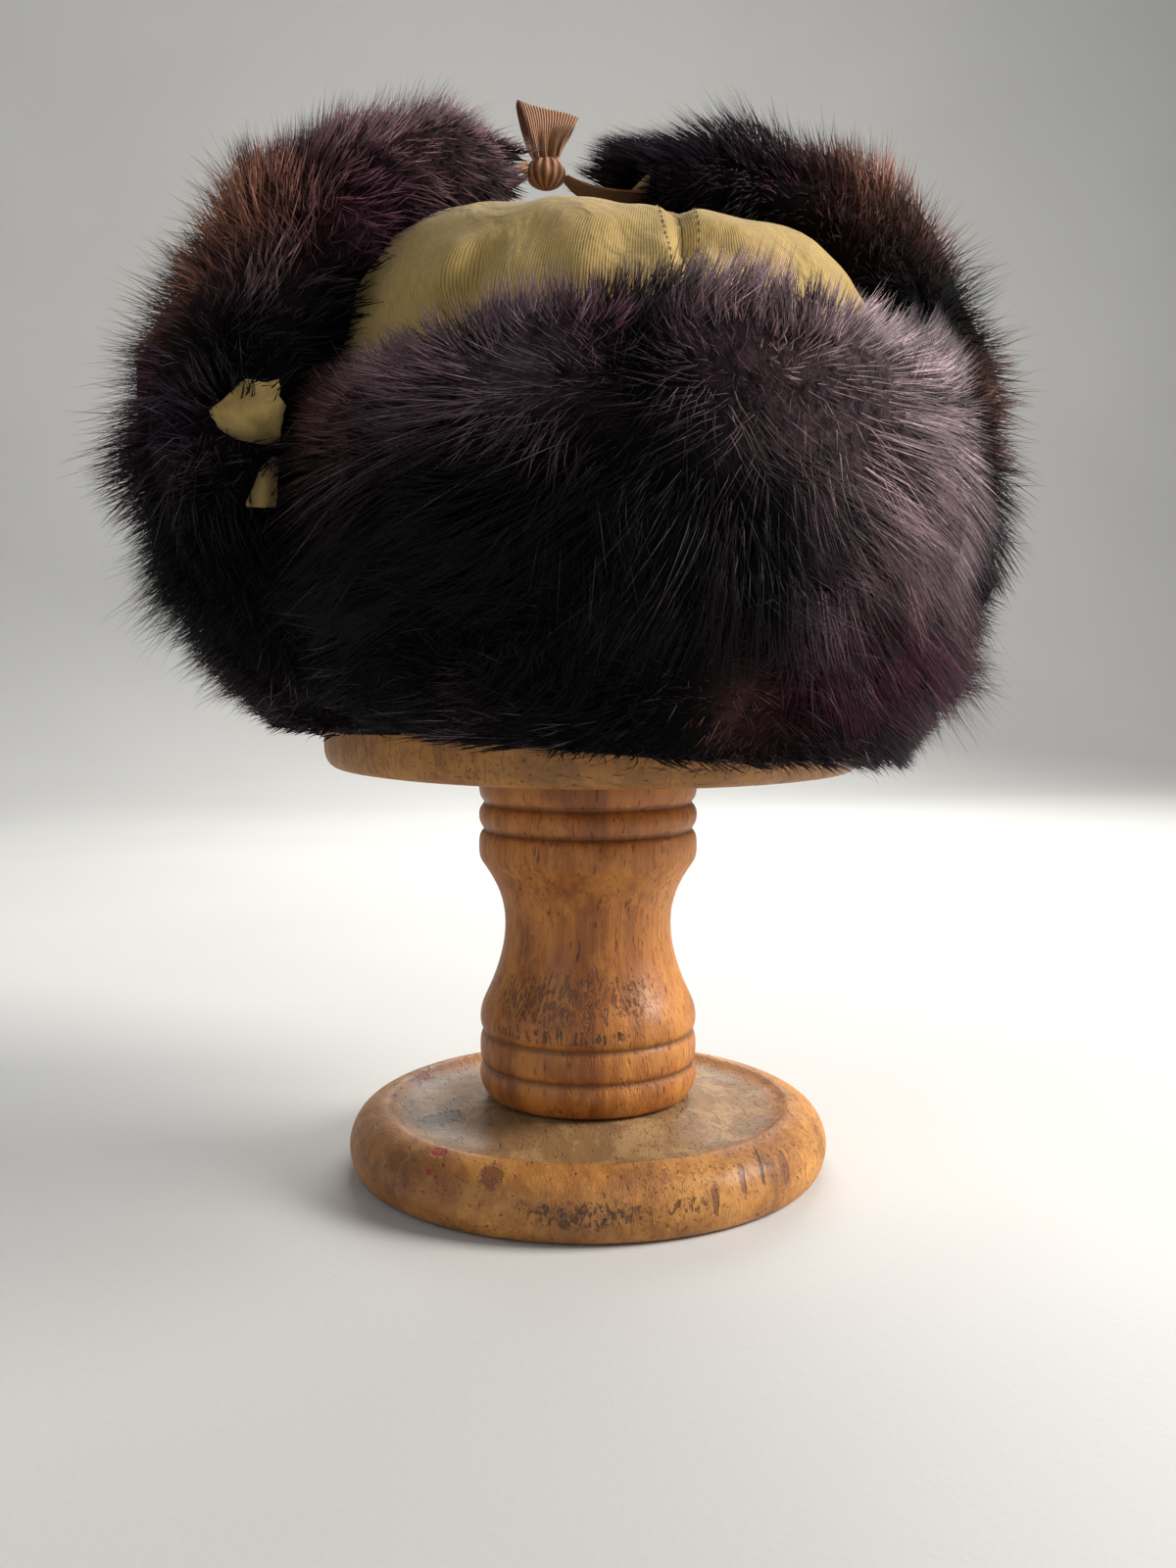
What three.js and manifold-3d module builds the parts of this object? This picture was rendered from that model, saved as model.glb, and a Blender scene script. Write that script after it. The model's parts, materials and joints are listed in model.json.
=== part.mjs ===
import * as THREE from 'three';
import { mergeVertices } from 'three/addons/utils/BufferGeometryUtils.js';
import Module from 'manifold-3d';

// A fur ushanka with its ear flaps tied up over the crown, on a turned wooden hat stand.
// Millimetres, +Z up, the hat's front toward -Y, the origin at the centre of the stand's foot.

const wasm = await Module();
wasm.setup();

// Driving dimensions

const GAP = 0.3;
const CROWN_WALL = 3;
const FACING = 2;
const RIBBON = 1;
const SLIVER = 0.05;

// Half of the head's width and length, where the block fills the hat's band
const HEAD_HALF_WIDTH = 82;
const HEAD_HALF_LENGTH = 99;

const BASE_RADIUS = 76;
const BASE_HEIGHT = 20.5;
const STEM_FOOT = 22;
const TENON_RADIUS = 12;
const TENON_LENGTH = 12;
const BLOCK_BOTTOM = 127.5;
const BLOCK_TOP = 212;
const RIM_HEIGHT = 133;

const BASE_SIDES = 32;
const STEM_SIDES = 20;
const GORE_COLUMNS = 8;
const BLOCK_SIDES = 4 * GORE_COLUMNS;
const GORE_ROWS = 13;

// Materials

const finish = (color, roughness) => new THREE.MeshStandardMaterial({ color, roughness, metalness: 0 });
const stemWood = finish(0x9a5a22, 0.35);
const blockWood = finish(0xa98a63, 0.6);
const khaki = finish(0xa38f55, 0.9);
const fur = finish(0x1a141c, 0.95);
const grosgrain = finish(0xb27a4e, 0.7);

// Tables

// The row at a share of a table's length, or at a value of its key column
function readRows(rows, place) {
  const at = THREE.MathUtils.clamp(place, 0, 1) * (rows.length - 1);
  const low = Math.min(Math.floor(at), rows.length - 2);
  return blendRows(rows, low, at - low);
}

function readRowsBy(rows, key, value) {
  let low = 0;
  while (low < rows.length - 2 && value > rows[low + 1][key]) {
    low += 1;
  }
  const share = (value - rows[low][key]) / (rows[low + 1][key] - rows[low][key]);
  return blendRows(rows, low, THREE.MathUtils.clamp(share, 0, 1));
}

// A Catmull-Rom blend of the rows round a place, column by column
function blendRows(rows, low, share) {
  const before = rows[Math.max(low - 1, 0)];
  const from = rows[low];
  const to = rows[low + 1];
  const after = rows[Math.min(low + 2, rows.length - 1)];
  const read = {};
  for (const column of Object.keys(from)) {
    const slopeFrom = (to[column] - before[column]) / 2;
    const slopeTo = (after[column] - from[column]) / 2;
    const squared = share * share;
    const cubed = squared * share;
    read[column] = from[column] * (2 * cubed - 3 * squared + 1)
      + slopeFrom * (cubed - 2 * squared + share)
      + to[column] * (3 * squared - 2 * cubed)
      + slopeTo * (cubed - squared);
  }
  return read;
}

// Closed meshes

function closeMesh(points, triangles) {
  const geometry = new THREE.BufferGeometry();
  geometry.setAttribute('position', new THREE.Float32BufferAttribute(points.flatMap((p) => p.toArray()), 3));
  geometry.setIndex(triangles.flat());
  return weld(geometry);
}

// Joins equal points and drops the triangles that this leaves without area
function weld(geometry) {
  geometry.deleteAttribute('normal');
  geometry.deleteAttribute('uv');
  const merged = mergeVertices(geometry, 1e-3);
  const corners = merged.getIndex().array;
  const kept = [];
  for (let i = 0; i < corners.length; i += 3) {
    const [a, b, c] = [corners[i], corners[i + 1], corners[i + 2]];
    if (a !== b && b !== c && c !== a) {
      kept.push(a, b, c);
    }
  }
  merged.setIndex(kept);
  return merged;
}

// A closed wall between two surfaces of one (u, v) grid. Across u, then up v, its outer side turns outward.
function wallBetween(outer, inner, columns, rows) {
  const points = [];
  const triangles = [];
  const layer = (columns + 1) * (rows + 1);
  for (const side of [outer, inner]) {
    for (let j = 0; j <= rows; j += 1) {
      for (let i = 0; i <= columns; i += 1) {
        points.push(side(i / columns, j / rows));
      }
    }
  }
  const at = (i, j) => j * (columns + 1) + i;
  for (let j = 0; j < rows; j += 1) {
    for (let i = 0; i < columns; i += 1) {
      const [a, b, c, d] = [at(i, j), at(i + 1, j), at(i + 1, j + 1), at(i, j + 1)];
      triangles.push([a, b, c], [a, c, d]);
      triangles.push([layer + c, layer + b, layer + a], [layer + d, layer + c, layer + a]);
    }
  }
  const border = [];
  for (let i = 0; i < columns; i += 1) border.push(at(i, 0));
  for (let j = 0; j < rows; j += 1) border.push(at(columns, j));
  for (let i = columns; i > 0; i -= 1) border.push(at(i, rows));
  for (let j = rows; j > 0; j -= 1) border.push(at(0, j));
  border.forEach((p, k) => {
    const q = border[(k + 1) % border.length];
    triangles.push([q, p, layer + p], [q, layer + p, layer + q]);
  });
  return closeMesh(points, triangles);
}

// The outward direction of a surface that is given as a function of (u, v)
function outward(surface, u, v) {
  const step = 1e-3;
  const across = surface(u + step, v).sub(surface(u - step, v)).normalize();
  const up = surface(u, v + step).sub(surface(u, v - step)).normalize();
  return { across, up, normal: new THREE.Vector3().crossVectors(across, up).normalize() };
}

const lifted = (surface, height) => (u, v) => {
  const { normal } = outward(surface, u, v);
  return surface(u, v).addScaledVector(normal, height(u, v));
};

// Solids for joining and cutting

function solidOf(geometry) {
  const welded = weld(geometry.clone());
  return new wasm.Manifold(new wasm.Mesh({
    numProp: 3,
    vertProperties: new Float32Array(welded.getAttribute('position').array),
    triVerts: new Uint32Array(welded.getIndex().array),
  }));
}

// The cuts leave slivers, which go where they are finer than the tolerance
function geometryOf(solid) {
  const mesh = solid.simplify(SLIVER).getMesh();
  const geometry = new THREE.BufferGeometry();
  geometry.setAttribute('position', new THREE.BufferAttribute(mesh.vertProperties, 3));
  geometry.setIndex(new THREE.BufferAttribute(mesh.triVerts, 1));
  return geometry;
}

// Stand

// A turned piece: its profile goes up the outside, from the axis to the axis
function turned(profile, sides) {
  const points = profile.map(([radius, height]) => new THREE.Vector2(radius, height));
  return weld(new THREE.LatheGeometry(points, sides).rotateX(Math.PI / 2));
}

function standBase() {
  const socket = TENON_RADIUS + GAP;
  const socketFloor = STEM_FOOT - TENON_LENGTH - GAP;
  return turned([
    [0, 0], [72, 0], [74.8, 2.2], [BASE_RADIUS, 6.7], [75.2, 12.5], [72.4, 17], [67.5, BASE_HEIGHT - 0.6],
    [64, BASE_HEIGHT], [61.5, 18.6], [56, 16.6], [47, 17.2], [39, 19.6], [34, STEM_FOOT - GAP],
    [socket, STEM_FOOT - GAP], [socket, socketFloor], [0, socketFloor],
  ], BASE_SIDES);
}

function standStem() {
  const top = BLOCK_BOTTOM - GAP;
  return turned([
    [0, STEM_FOOT - TENON_LENGTH], [TENON_RADIUS, STEM_FOOT - TENON_LENGTH], [TENON_RADIUS, STEM_FOOT],
    [31, STEM_FOOT], [33.8, 25.4], [34.6, 30.2], [33.6, 33.2], [34.4, 36], [34.4, 41], [33.2, 43.2],
    [34.3, 46], [34.2, 50.5], [30.5, 58.5], [28.2, 64.6], [26.4, 72], [26.3, 79], [28.1, 88.2],
    [33.2, 96.5], [34.4, 99], [34.3, 105], [32.8, 107.2], [34.3, 109.6], [34.3, 114], [32.5, 115.9],
    [34.2, 117.8], [34.2, top], [TENON_RADIUS, top], [TENON_RADIUS, top + TENON_LENGTH],
    [0, top + TENON_LENGTH],
  ], STEM_SIDES);
}

// The block is turned, and then drawn out to the head's oval everywhere beyond its socket
function hatBlock() {
  const socket = TENON_RADIUS + GAP;
  const socketRoof = BLOCK_BOTTOM + TENON_LENGTH + GAP;
  const radius = HEAD_HALF_WIDTH;
  const geometry = turned([
    [0, socketRoof], [socket, socketRoof], [socket, BLOCK_BOTTOM], [radius - 5, BLOCK_BOTTOM],
    [radius - 1.4, BLOCK_BOTTOM + 1.6], [radius, BLOCK_BOTTOM + 5.2], [radius, 176], [radius - 2.5, 190],
    [radius - 10, 201], [radius - 28, 209], [0, BLOCK_TOP],
  ], BLOCK_SIDES);
  const position = geometry.getAttribute('position');
  for (let i = 0; i < position.count; i += 1) {
    const reach = Math.hypot(position.getX(i), position.getY(i)) / HEAD_HALF_WIDTH;
    if (reach * HEAD_HALF_WIDTH > socket + 1) {
      const angle = Math.atan2(position.getX(i), -position.getY(i));
      const { x, y } = ovalPoint(angle, reach * HEAD_HALF_WIDTH, reach * HEAD_HALF_LENGTH, 0);
      position.setXY(i, x, y);
    }
  }
  return geometry;
}

// Crown

// A point of an oval at an angle from the front, counterclockwise seen from above
function ovalPoint(angle, halfWidth, halfLength, height) {
  const radius = 1 / Math.hypot(Math.sin(angle) / halfWidth, Math.cos(angle) / halfLength);
  return new THREE.Vector3(radius * Math.sin(angle), -radius * Math.cos(angle), height);
}

// The crown's outer side from its rim to its apex. Lean is the share of the apex's shift that a ring takes.
const CROWN_RINGS = [
  { height: RIM_HEIGHT, halfWidth: 85.3, halfLength: 102.3, lean: 0 },
  { height: 155, halfWidth: 85.6, halfLength: 102.6, lean: 0 },
  { height: 178, halfWidth: 86.6, halfLength: 103.6, lean: 0 },
  { height: 201, halfWidth: 87.6, halfLength: 104.4, lean: 0 },
  { height: 223, halfWidth: 88, halfLength: 104.6, lean: 0 },
  { height: 244, halfWidth: 86.5, halfLength: 103, lean: 0.02 },
  { height: 262, halfWidth: 82.5, halfLength: 98.5, lean: 0.06 },
  { height: 276, halfWidth: 74.5, halfLength: 89.5, lean: 0.14 },
  { height: 286, halfWidth: 61, halfLength: 73, lean: 0.3 },
  { height: 291.5, halfWidth: 44, halfLength: 52, lean: 0.52 },
  { height: 294, halfWidth: 24, halfLength: 28, lean: 0.77 },
  { height: 294.5, halfWidth: 0, halfLength: 0, lean: 1 },
];
const APEX_SHIFT = { x: 6, y: -46 };
const ROOF_START = 235;
const ROOF_FULL = 280;
const GORE_PUFF = 1.8;
const TINY = 1e-6;

// The roof's dents, which the wearer's hand and the ties have left in it
const ROOF_DENTS = [
  { x: 8, y: -60, rise: -14, reachX: 24, reachY: 20 },
  { x: -36, y: -50, rise: -7.6, reachX: 30, reachY: 34 },
  { x: 44, y: -44, rise: -14, reachX: 26, reachY: 30 },
  { x: 0, y: -96, rise: -10.8, reachX: 70, reachY: 30 },
  { x: 74, y: -50, rise: -13, reachX: 26, reachY: 40 },
];

function crownPoint(angle, along) {
  const ring = readRows(CROWN_RINGS, along);
  const [halfWidth, halfLength] = [Math.max(ring.halfWidth, TINY), Math.max(ring.halfLength, TINY)];
  const point = ovalPoint(angle, halfWidth, halfLength, ring.height);
  const betweenSeams = Math.sin(2 * angle) ** 2;
  const betweenRimAndApex = Math.sin(Math.PI * Math.min(along * 1.1, 1));
  const puff = 1 + GORE_PUFF * betweenSeams * betweenRimAndApex / HEAD_HALF_WIDTH;
  point.x = point.x * puff + APEX_SHIFT.x * ring.lean;
  point.y = point.y * puff + APEX_SHIFT.y * ring.lean;
  const roof = THREE.MathUtils.smoothstep(point.z, ROOF_START, ROOF_FULL);
  for (const dent of ROOF_DENTS) {
    const far = ((point.x - dent.x) / dent.reachX) ** 2 + ((point.y - dent.y) / dent.reachY) ** 2;
    point.z += roof * dent.rise * Math.exp(-far);
  }
  return point;
}

// The whole crown as one surface whose u counts quarters from the front
const crownSurface = (u, v) => crownPoint(u * Math.PI / 2, v);

const UP = new THREE.Vector3(0, 0, 1);

// Where along the crown its wall's thickness turns from square to the cloth to upright
const WALL_TURN = [0.4, 0.65];

// A quarter of the crown, from one seam to the next, moved off both seams by half of the gap
function crownGore(quarter) {
  const outer = (u, v) => crownSurface(quarter + u, v);
  const inner = (u, v) => {
    const roof = THREE.MathUtils.smoothstep(v, ...WALL_TURN);
    const normal = v === 1 ? UP.clone() : outward(crownSurface, quarter + u, v).normal.lerp(UP, roof);
    return crownSurface(quarter + u, v).addScaledVector(normal.normalize(), -CROWN_WALL);
  };
  const middle = (quarter + 0.5) * Math.PI / 2;
  const offSeams = [Math.sign(Math.sin(middle)) * GAP / 2, -Math.sign(Math.cos(middle)) * GAP / 2];
  return wallBetween(outer, inner, GORE_COLUMNS, GORE_ROWS).translate(...offSeams, 0);
}

// Flaps turned up round the band: the side of the facing that looks at the crown.
// Rise is the share of the way from the lower edge to the upper one. Fur is the coat's depth, sweep how far
// the hair's ends lie above their roots.
const FRONT_FLAP = {
  from: -53.5,
  to: 53.5,
  rows: [
    { rise: 0, halfWidth: 86, halfLength: 103, fur: 11, sweep: -5 },
    { rise: 0.25, halfWidth: 88.5, halfLength: 105.6, fur: 24, sweep: -2 },
    { rise: 0.5, halfWidth: 91, halfLength: 108, fur: 28, sweep: 4 },
    { rise: 0.75, halfWidth: 93, halfLength: 109.5, fur: 27, sweep: 13 },
    { rise: 1, halfWidth: 94, halfLength: 110, fur: 20, sweep: 22 },
  ],
  edges: [
    { angle: -54, lower: 141, upper: 203 },
    { angle: -35, lower: 138, upper: 215 },
    { angle: -15, lower: 136.5, upper: 227 },
    { angle: 5, lower: 135.5, upper: 230 },
    { angle: 30, lower: 134.5, upper: 227 },
    { angle: 54, lower: 134, upper: 226 },
  ],
};
const NECK_FLAP = {
  from: 136.6,
  to: 223.4,
  rows: [
    { rise: 0, halfWidth: 86, halfLength: 103, fur: 11, sweep: -5 },
    { rise: 0.25, halfWidth: 88.5, halfLength: 105.6, fur: 20, sweep: -2 },
    { rise: 0.5, halfWidth: 91, halfLength: 107.6, fur: 23, sweep: 4 },
    { rise: 0.75, halfWidth: 93, halfLength: 109, fur: 22, sweep: 12 },
    { rise: 1, halfWidth: 94, halfLength: 109.5, fur: 17, sweep: 20 },
  ],
  edges: [
    { angle: 133, lower: 134, upper: 212 },
    { angle: 180, lower: 134, upper: 218 },
    { angle: 227, lower: 134, upper: 212 },
  ],
};

const bandFlapSurface = (flap) => (u, v) => {
  const degrees = THREE.MathUtils.lerp(flap.from, flap.to, u);
  const edge = readRowsBy(flap.edges, 'angle', degrees);
  const row = readRows(flap.rows, v);
  const aboveEdge = Math.max(0, v - 1);
  const height = THREE.MathUtils.lerp(edge.lower, edge.upper, row.rise + aboveEdge);
  return ovalPoint(THREE.MathUtils.degToRad(degrees), row.halfWidth, row.halfLength, height);
};

// Ear flaps turned up and tied over the crown. Out is the distance from the middle plane where the flap
// crosses y = 0, bow the half-length of the oval that it follows, and flare how far its front edge turns out.
const EAR_FLAP_LEFT = {
  side: -1,
  rows: [
    { out: 86.4, height: 136, front: -49, back: 61, bow: 104, flare: 0, fur: 9, sweep: -4 },
    { out: 91, height: 160, front: -49.5, back: 61, bow: 107, flare: 3, fur: 24, sweep: 0 },
    { out: 96, height: 185, front: -50, back: 60, bow: 115, flare: 9, fur: 34, sweep: 5 },
    { out: 100.5, height: 210, front: -48, back: 57, bow: 130, flare: 15, fur: 38, sweep: 9 },
    { out: 102, height: 234, front: -44, back: 52, bow: 140, flare: 9, fur: 38, sweep: 12 },
    { out: 97, height: 258, front: -39, back: 46, bow: 140, flare: 2, fur: 36, sweep: 12 },
    { out: 85, height: 280, front: -34, back: 40, bow: 140, flare: 0, fur: 33, sweep: 10 },
    { out: 66, height: 295, front: -29, back: 33, bow: 140, flare: 0, fur: 28, sweep: 8 },
    { out: 46, height: 300.5, front: -24, back: 26, bow: 140, flare: 0, fur: 23, sweep: 6 },
    { out: 29, height: 301.5, front: -19, back: 18, bow: 140, flare: 0, fur: 19, sweep: 3 },
  ],
};
const EAR_FLAP_RIGHT = {
  side: 1,
  rows: [
    { out: 86.4, height: 136, front: -49, back: 61, bow: 104, flare: 0, fur: 14, sweep: -6 },
    { out: 90, height: 160, front: -49.5, back: 61, bow: 107, flare: 1, fur: 27, sweep: -2 },
    { out: 94, height: 185, front: -50, back: 60, bow: 115, flare: 3, fur: 31, sweep: 4 },
    { out: 97, height: 210, front: -47, back: 57, bow: 130, flare: 4, fur: 29, sweep: 8 },
    { out: 97.5, height: 234, front: -43, back: 52, bow: 140, flare: 2, fur: 27, sweep: 10 },
    { out: 93.5, height: 257, front: -38, back: 46, bow: 140, flare: 0, fur: 27, sweep: 10 },
    { out: 84, height: 277, front: -34, back: 40, bow: 140, flare: 0, fur: 28, sweep: 8 },
    { out: 67, height: 292, front: -30, back: 33, bow: 140, flare: 0, fur: 27, sweep: 7 },
    { out: 41, height: 299.5, front: -26, back: 26, bow: 140, flare: 0, fur: 24, sweep: 5 },
    { out: 13, height: 301.5, front: -20, back: 18, bow: 140, flare: 0, fur: 18, sweep: 3 },
  ],
};
const FLARE_REACH = 0.4;
const EDGE_CURL = 620;
const OVER_CROWN_RADIUS = 220;

const earFlapSurface = (flap) => (u, v) => {
  const row = readRows(flap.rows, v);
  const fromFront = flap.side > 0 ? u : 1 - u;
  const y = THREE.MathUtils.lerp(row.front, row.back, fromFront);
  const turn = THREE.MathUtils.clamp(1 - fromFront / FLARE_REACH, 0, 1) ** 2;
  const pastEdge = fromFront - THREE.MathUtils.clamp(fromFront, 0, 1);
  const out = row.out * Math.sqrt(1 - (y / row.bow) ** 2) + row.flare * turn - EDGE_CURL * pastEdge ** 2;
  return new THREE.Vector3(flap.side * out, y, row.height - v * y * y / (2 * OVER_CROWN_RADIUS));
};

const flapFacing = ({ surface, grid: { columns, rows } }) => (
  wallBetween(lifted(surface, () => FACING), surface, columns, rows)
);

// Fur

const LOCK_SIDES = 3;
const LOCK_STEPS = 2;
const LOCK_FULLNESS = 2;
const LOCK_WIDTH = 13;
const LOCK_THICKNESS = 8;

// Shares of the coat's depth: where a lock starts, and how high the undercoat reaches
const LOCK_ROOT = 0.3;
const UNDERCOAT = 0.76;

const HIDE = 3;
const COAT_GAP = 0.4;
const ROOM_GAP = 0.3;
const FACING_ROOM = 6;
const EDGE_ROOM = 0.8;
const COAT_REACH = 260;
const COAT_TOP = 400;

// How far chance moves a lock: in spacings across and along, in shares of depth, in mm, and in radians
const CHANCE = { across: 0.15, along: 0.2, depth: 0.08, fan: 4, sweep: 3, twist: 0.5 };

// A repeatable scatter between -1 and 1
function scatter(seed) {
  const wave = Math.sin(seed * 127.1 + 311.7) * 43758.5453;
  return 2 * (wave - Math.floor(wave)) - 1;
}

// A lock of hair: a slender cone bent along a curve, flattened against the coat
function lockOfHair(root, middle, tip, side) {
  const curve = new THREE.QuadraticBezierCurve3(root, middle, tip);
  const cone = new THREE.ConeGeometry(1, 1, LOCK_SIDES, LOCK_STEPS);
  const position = cone.getAttribute('position');
  for (let i = 0; i < position.count; i += 1) {
    const along = position.getY(i) + 0.5;
    const full = LOCK_FULLNESS * along * (1 - along);
    const [wide, deep] = [position.getX(i) * (1 + full), position.getZ(i) * (1 + full)];
    const below = new THREE.Vector3().crossVectors(side, curve.getTangent(along)).normalize();
    const point = curve.getPoint(along).addScaledVector(side, wide * LOCK_WIDTH);
    point.addScaledVector(below, deep * LOCK_THICKNESS);
    position.setXYZ(i, point.x, point.y, point.z);
  }
  return cone;
}
// A flap's coat: hide with a thick undercoat on the facing's outside, and locks fused to it.
// It reaches a little past the facing's edges, and the locks there turn round them.
function furCoat({ surface, rows, grid, locks, edge }) {
  const floor = FACING + COAT_GAP;
  const coatSurface = (u, v) => surface(0.5 + (u - 0.5) * (1 + edge.overhang), v * (1 + edge.crest));
  const depthAt = (u, v) => {
    const fromSides = Math.min(1, 6.4 * u * (1 - u) + edge.depth);
    const fromEnd = Math.min(1, 5 * (1 - v) + edge.depth);
    return readRows(rows, v).fur * Math.sqrt(fromSides * fromEnd);
  };
  const undercoat = wallBetween(
    lifted(coatSurface, (u, v) => floor + HIDE + (depthAt(u, v) - HIDE) * UNDERCOAT),
    lifted(coatSurface, () => floor + ROOM_GAP),
    grid.columns,
    grid.rows,
  );
  let coat = solidOf(undercoat);
  for (let j = 0; j < locks.rows; j += 1) {
    for (let i = 0; i < locks.columns; i += 1) {
      const seed = locks.seed + j * 31 + i * 7;
      const u = (i + 0.25 + 0.5 * (j % 2) + CHANCE.across * scatter(seed)) / locks.columns;
      const v = (j + 0.4 + CHANCE.along * scatter(seed + 0.3)) / locks.rows;
      const { across, up, normal } = outward(coatSurface, u, v);
      const aside = 2 * u - 1;
      const depth = depthAt(u, v) * (1 + CHANCE.depth * scatter(seed + 0.5));
      const fan = aside ** 3 * locks.fan + CHANCE.fan * scatter(seed + 0.7);
      const sweep = readRows(rows, v).sweep + CHANCE.sweep * scatter(seed + 0.9);
      const lean = up.clone().multiplyScalar(sweep).addScaledVector(across, fan);
      const above = (share) => coatSurface(u, v).addScaledVector(normal, floor + depth * share);
      const root = above(LOCK_ROOT);
      const middle = above(0.8).addScaledVector(lean, 0.2);
      const tip = above(1 - locks.tuck * aside ** 4).add(lean);
      const side = across.clone().applyAxisAngle(normal, CHANCE.twist * scatter(seed + 1.1));
      coat = coat.add(solidOf(lockOfHair(root, middle, tip, side)));
    }
  }
  return coat.subtract(solidOf(facingRoom(surface, grid, floor)));
}

// The room that a coat leaves to its facing, from inside of it to the coat's floor and past its edges
function facingRoom(surface, grid, floor) {
  const grown = (height) => (u, v) => {
    const { across, up, normal } = outward(surface, u, v);
    const past = across.multiplyScalar(EDGE_ROOM * (2 * u - 1)).addScaledVector(up, EDGE_ROOM * (2 * v - 1));
    return surface(u, v).add(past).addScaledVector(normal, height);
  };
  return wallBetween(grown(floor), grown(-FACING_ROOM), grid.columns, grid.rows);
}

// The largest of a solid's separate bodies, without the crumbs that a cut leaves
function mainBody(solid) {
  return solid.decompose().reduce((largest, body) => (body.volume() > largest.volume() ? body : largest));
}

// Two coats that meet keep apart along an upright plane through the stand's axis
function wedge(fromDegrees, toDegrees) {
  const outline = new THREE.Shape();
  const steps = 4;
  outline.moveTo(0, 0);
  for (let i = 0; i <= steps; i += 1) {
    const angle = THREE.MathUtils.degToRad(THREE.MathUtils.lerp(fromDegrees, toDegrees, i / steps));
    outline.lineTo(COAT_REACH * Math.sin(angle), -COAT_REACH * Math.cos(angle));
  }
  return solidOf(new THREE.ExtrudeGeometry(outline, { depth: COAT_TOP, bevelEnabled: false }));
}

// Ribbon

// A flat ribbon along a row of places, each with its own width and sideways direction
function ribbon(places, steps) {
  const centre = new THREE.CatmullRomCurve3(places.map(({ at }) => new THREE.Vector3(...at)));
  const tables = places.map(({ side, width }) => ({ x: side[0], y: side[1], z: side[2], width }));
  const middle = (u, v) => {
    const { x, y, z, width } = readRows(tables, v);
    const side = new THREE.Vector3(x, y, z).normalize();
    return centre.getPoint(THREE.MathUtils.clamp(v, 0, 1)).addScaledVector(side, (u - 0.5) * width);
  };
  return wallBetween(lifted(middle, () => RIBBON / 2), lifted(middle, () => -RIBBON / 2), 2, steps);
}

// The bow's strands and loop, from the knot outward. Side is the ribbon's direction across its width.
const KNOT = { x: -15, y: -8, z: 304.5, halfWidth: 6, halfDepth: 5, halfHeight: 5 };
const RIBBONS = [
  {
    name: 'tie_left',
    steps: 5,
    places: [
      { at: [-42, -2, 299.6], side: [0, 1, 0], width: 14 },
      { at: [-33, -3, 300.2], side: [0, 1, 0], width: 14 },
      { at: [-26, -6, 300.6], side: [0, 1, 0], width: 10 },
      { at: [-21.3, -8, 303], side: [0, 1, 0.2], width: 7 },
    ],
  },
  {
    name: 'tie_right',
    steps: 7,
    places: [
      { at: [-9, -8, 303.6], side: [0, 1, -0.2], width: 7 },
      { at: [-3, -7, 301], side: [0, 1, 0], width: 12 },
      { at: [6, -5, 299.9], side: [0, 1, 0], width: 15 },
      { at: [16, -4, 300], side: [0, 1, 0], width: 15 },
      { at: [27, -3, 299.4], side: [0, 1, 0], width: 15 },
    ],
  },
  {
    name: 'bow_loop',
    steps: 12,
    places: [
      { at: [-15, -10, 309.6], side: [1, 0, 0], width: 7 },
      { at: [-15.5, -12.5, 315], side: [1, 0, 0], width: 11 },
      { at: [-15.5, -12.8, 321], side: [1, 0, 0], width: 15 },
      { at: [-15, -9.5, 325.8], side: [1, 0, 0.1], width: 16 },
      { at: [-14.5, -4.5, 326], side: [1, 0, 0.1], width: 16 },
      { at: [-14, -1.2, 321.5], side: [1, 0, 0], width: 15 },
      { at: [-14, -2, 315], side: [1, 0, 0], width: 11 },
      { at: [-14.5, -6, 309.5], side: [1, 0, 0], width: 7 },
    ],
  },
  {
    name: 'bow_tail',
    steps: 3,
    places: [
      { at: [-21.6, -11.5, 304.6], side: [0, 0.3, 1], width: 5 },
      { at: [-24, -13.5, 303.6], side: [0, 0.3, 1], width: 7 },
      { at: [-27.5, -15, 301.6], side: [-0.3, 0.3, 1], width: 8 },
    ],
  },
];

// The whole

const stand = new THREE.Group();
const crown = new THREE.Group();
const flaps = new THREE.Group();
const bow = new THREE.Group();

function addPiece(group, name, geometry, material) {
  const mesh = new THREE.Mesh(geometry, material);
  mesh.name = name;
  group.add(mesh);
}

addPiece(stand, 'stand_base', standBase(), stemWood);
addPiece(stand, 'stand_stem', standStem(), stemWood);
addPiece(stand, 'hat_block', hatBlock(), blockWood);

['front_right', 'back_right', 'back_left', 'front_left'].forEach((name, quarter) => {
  addPiece(crown, `crown_gore_${name}`, crownGore(quarter), khaki);
});

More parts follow.
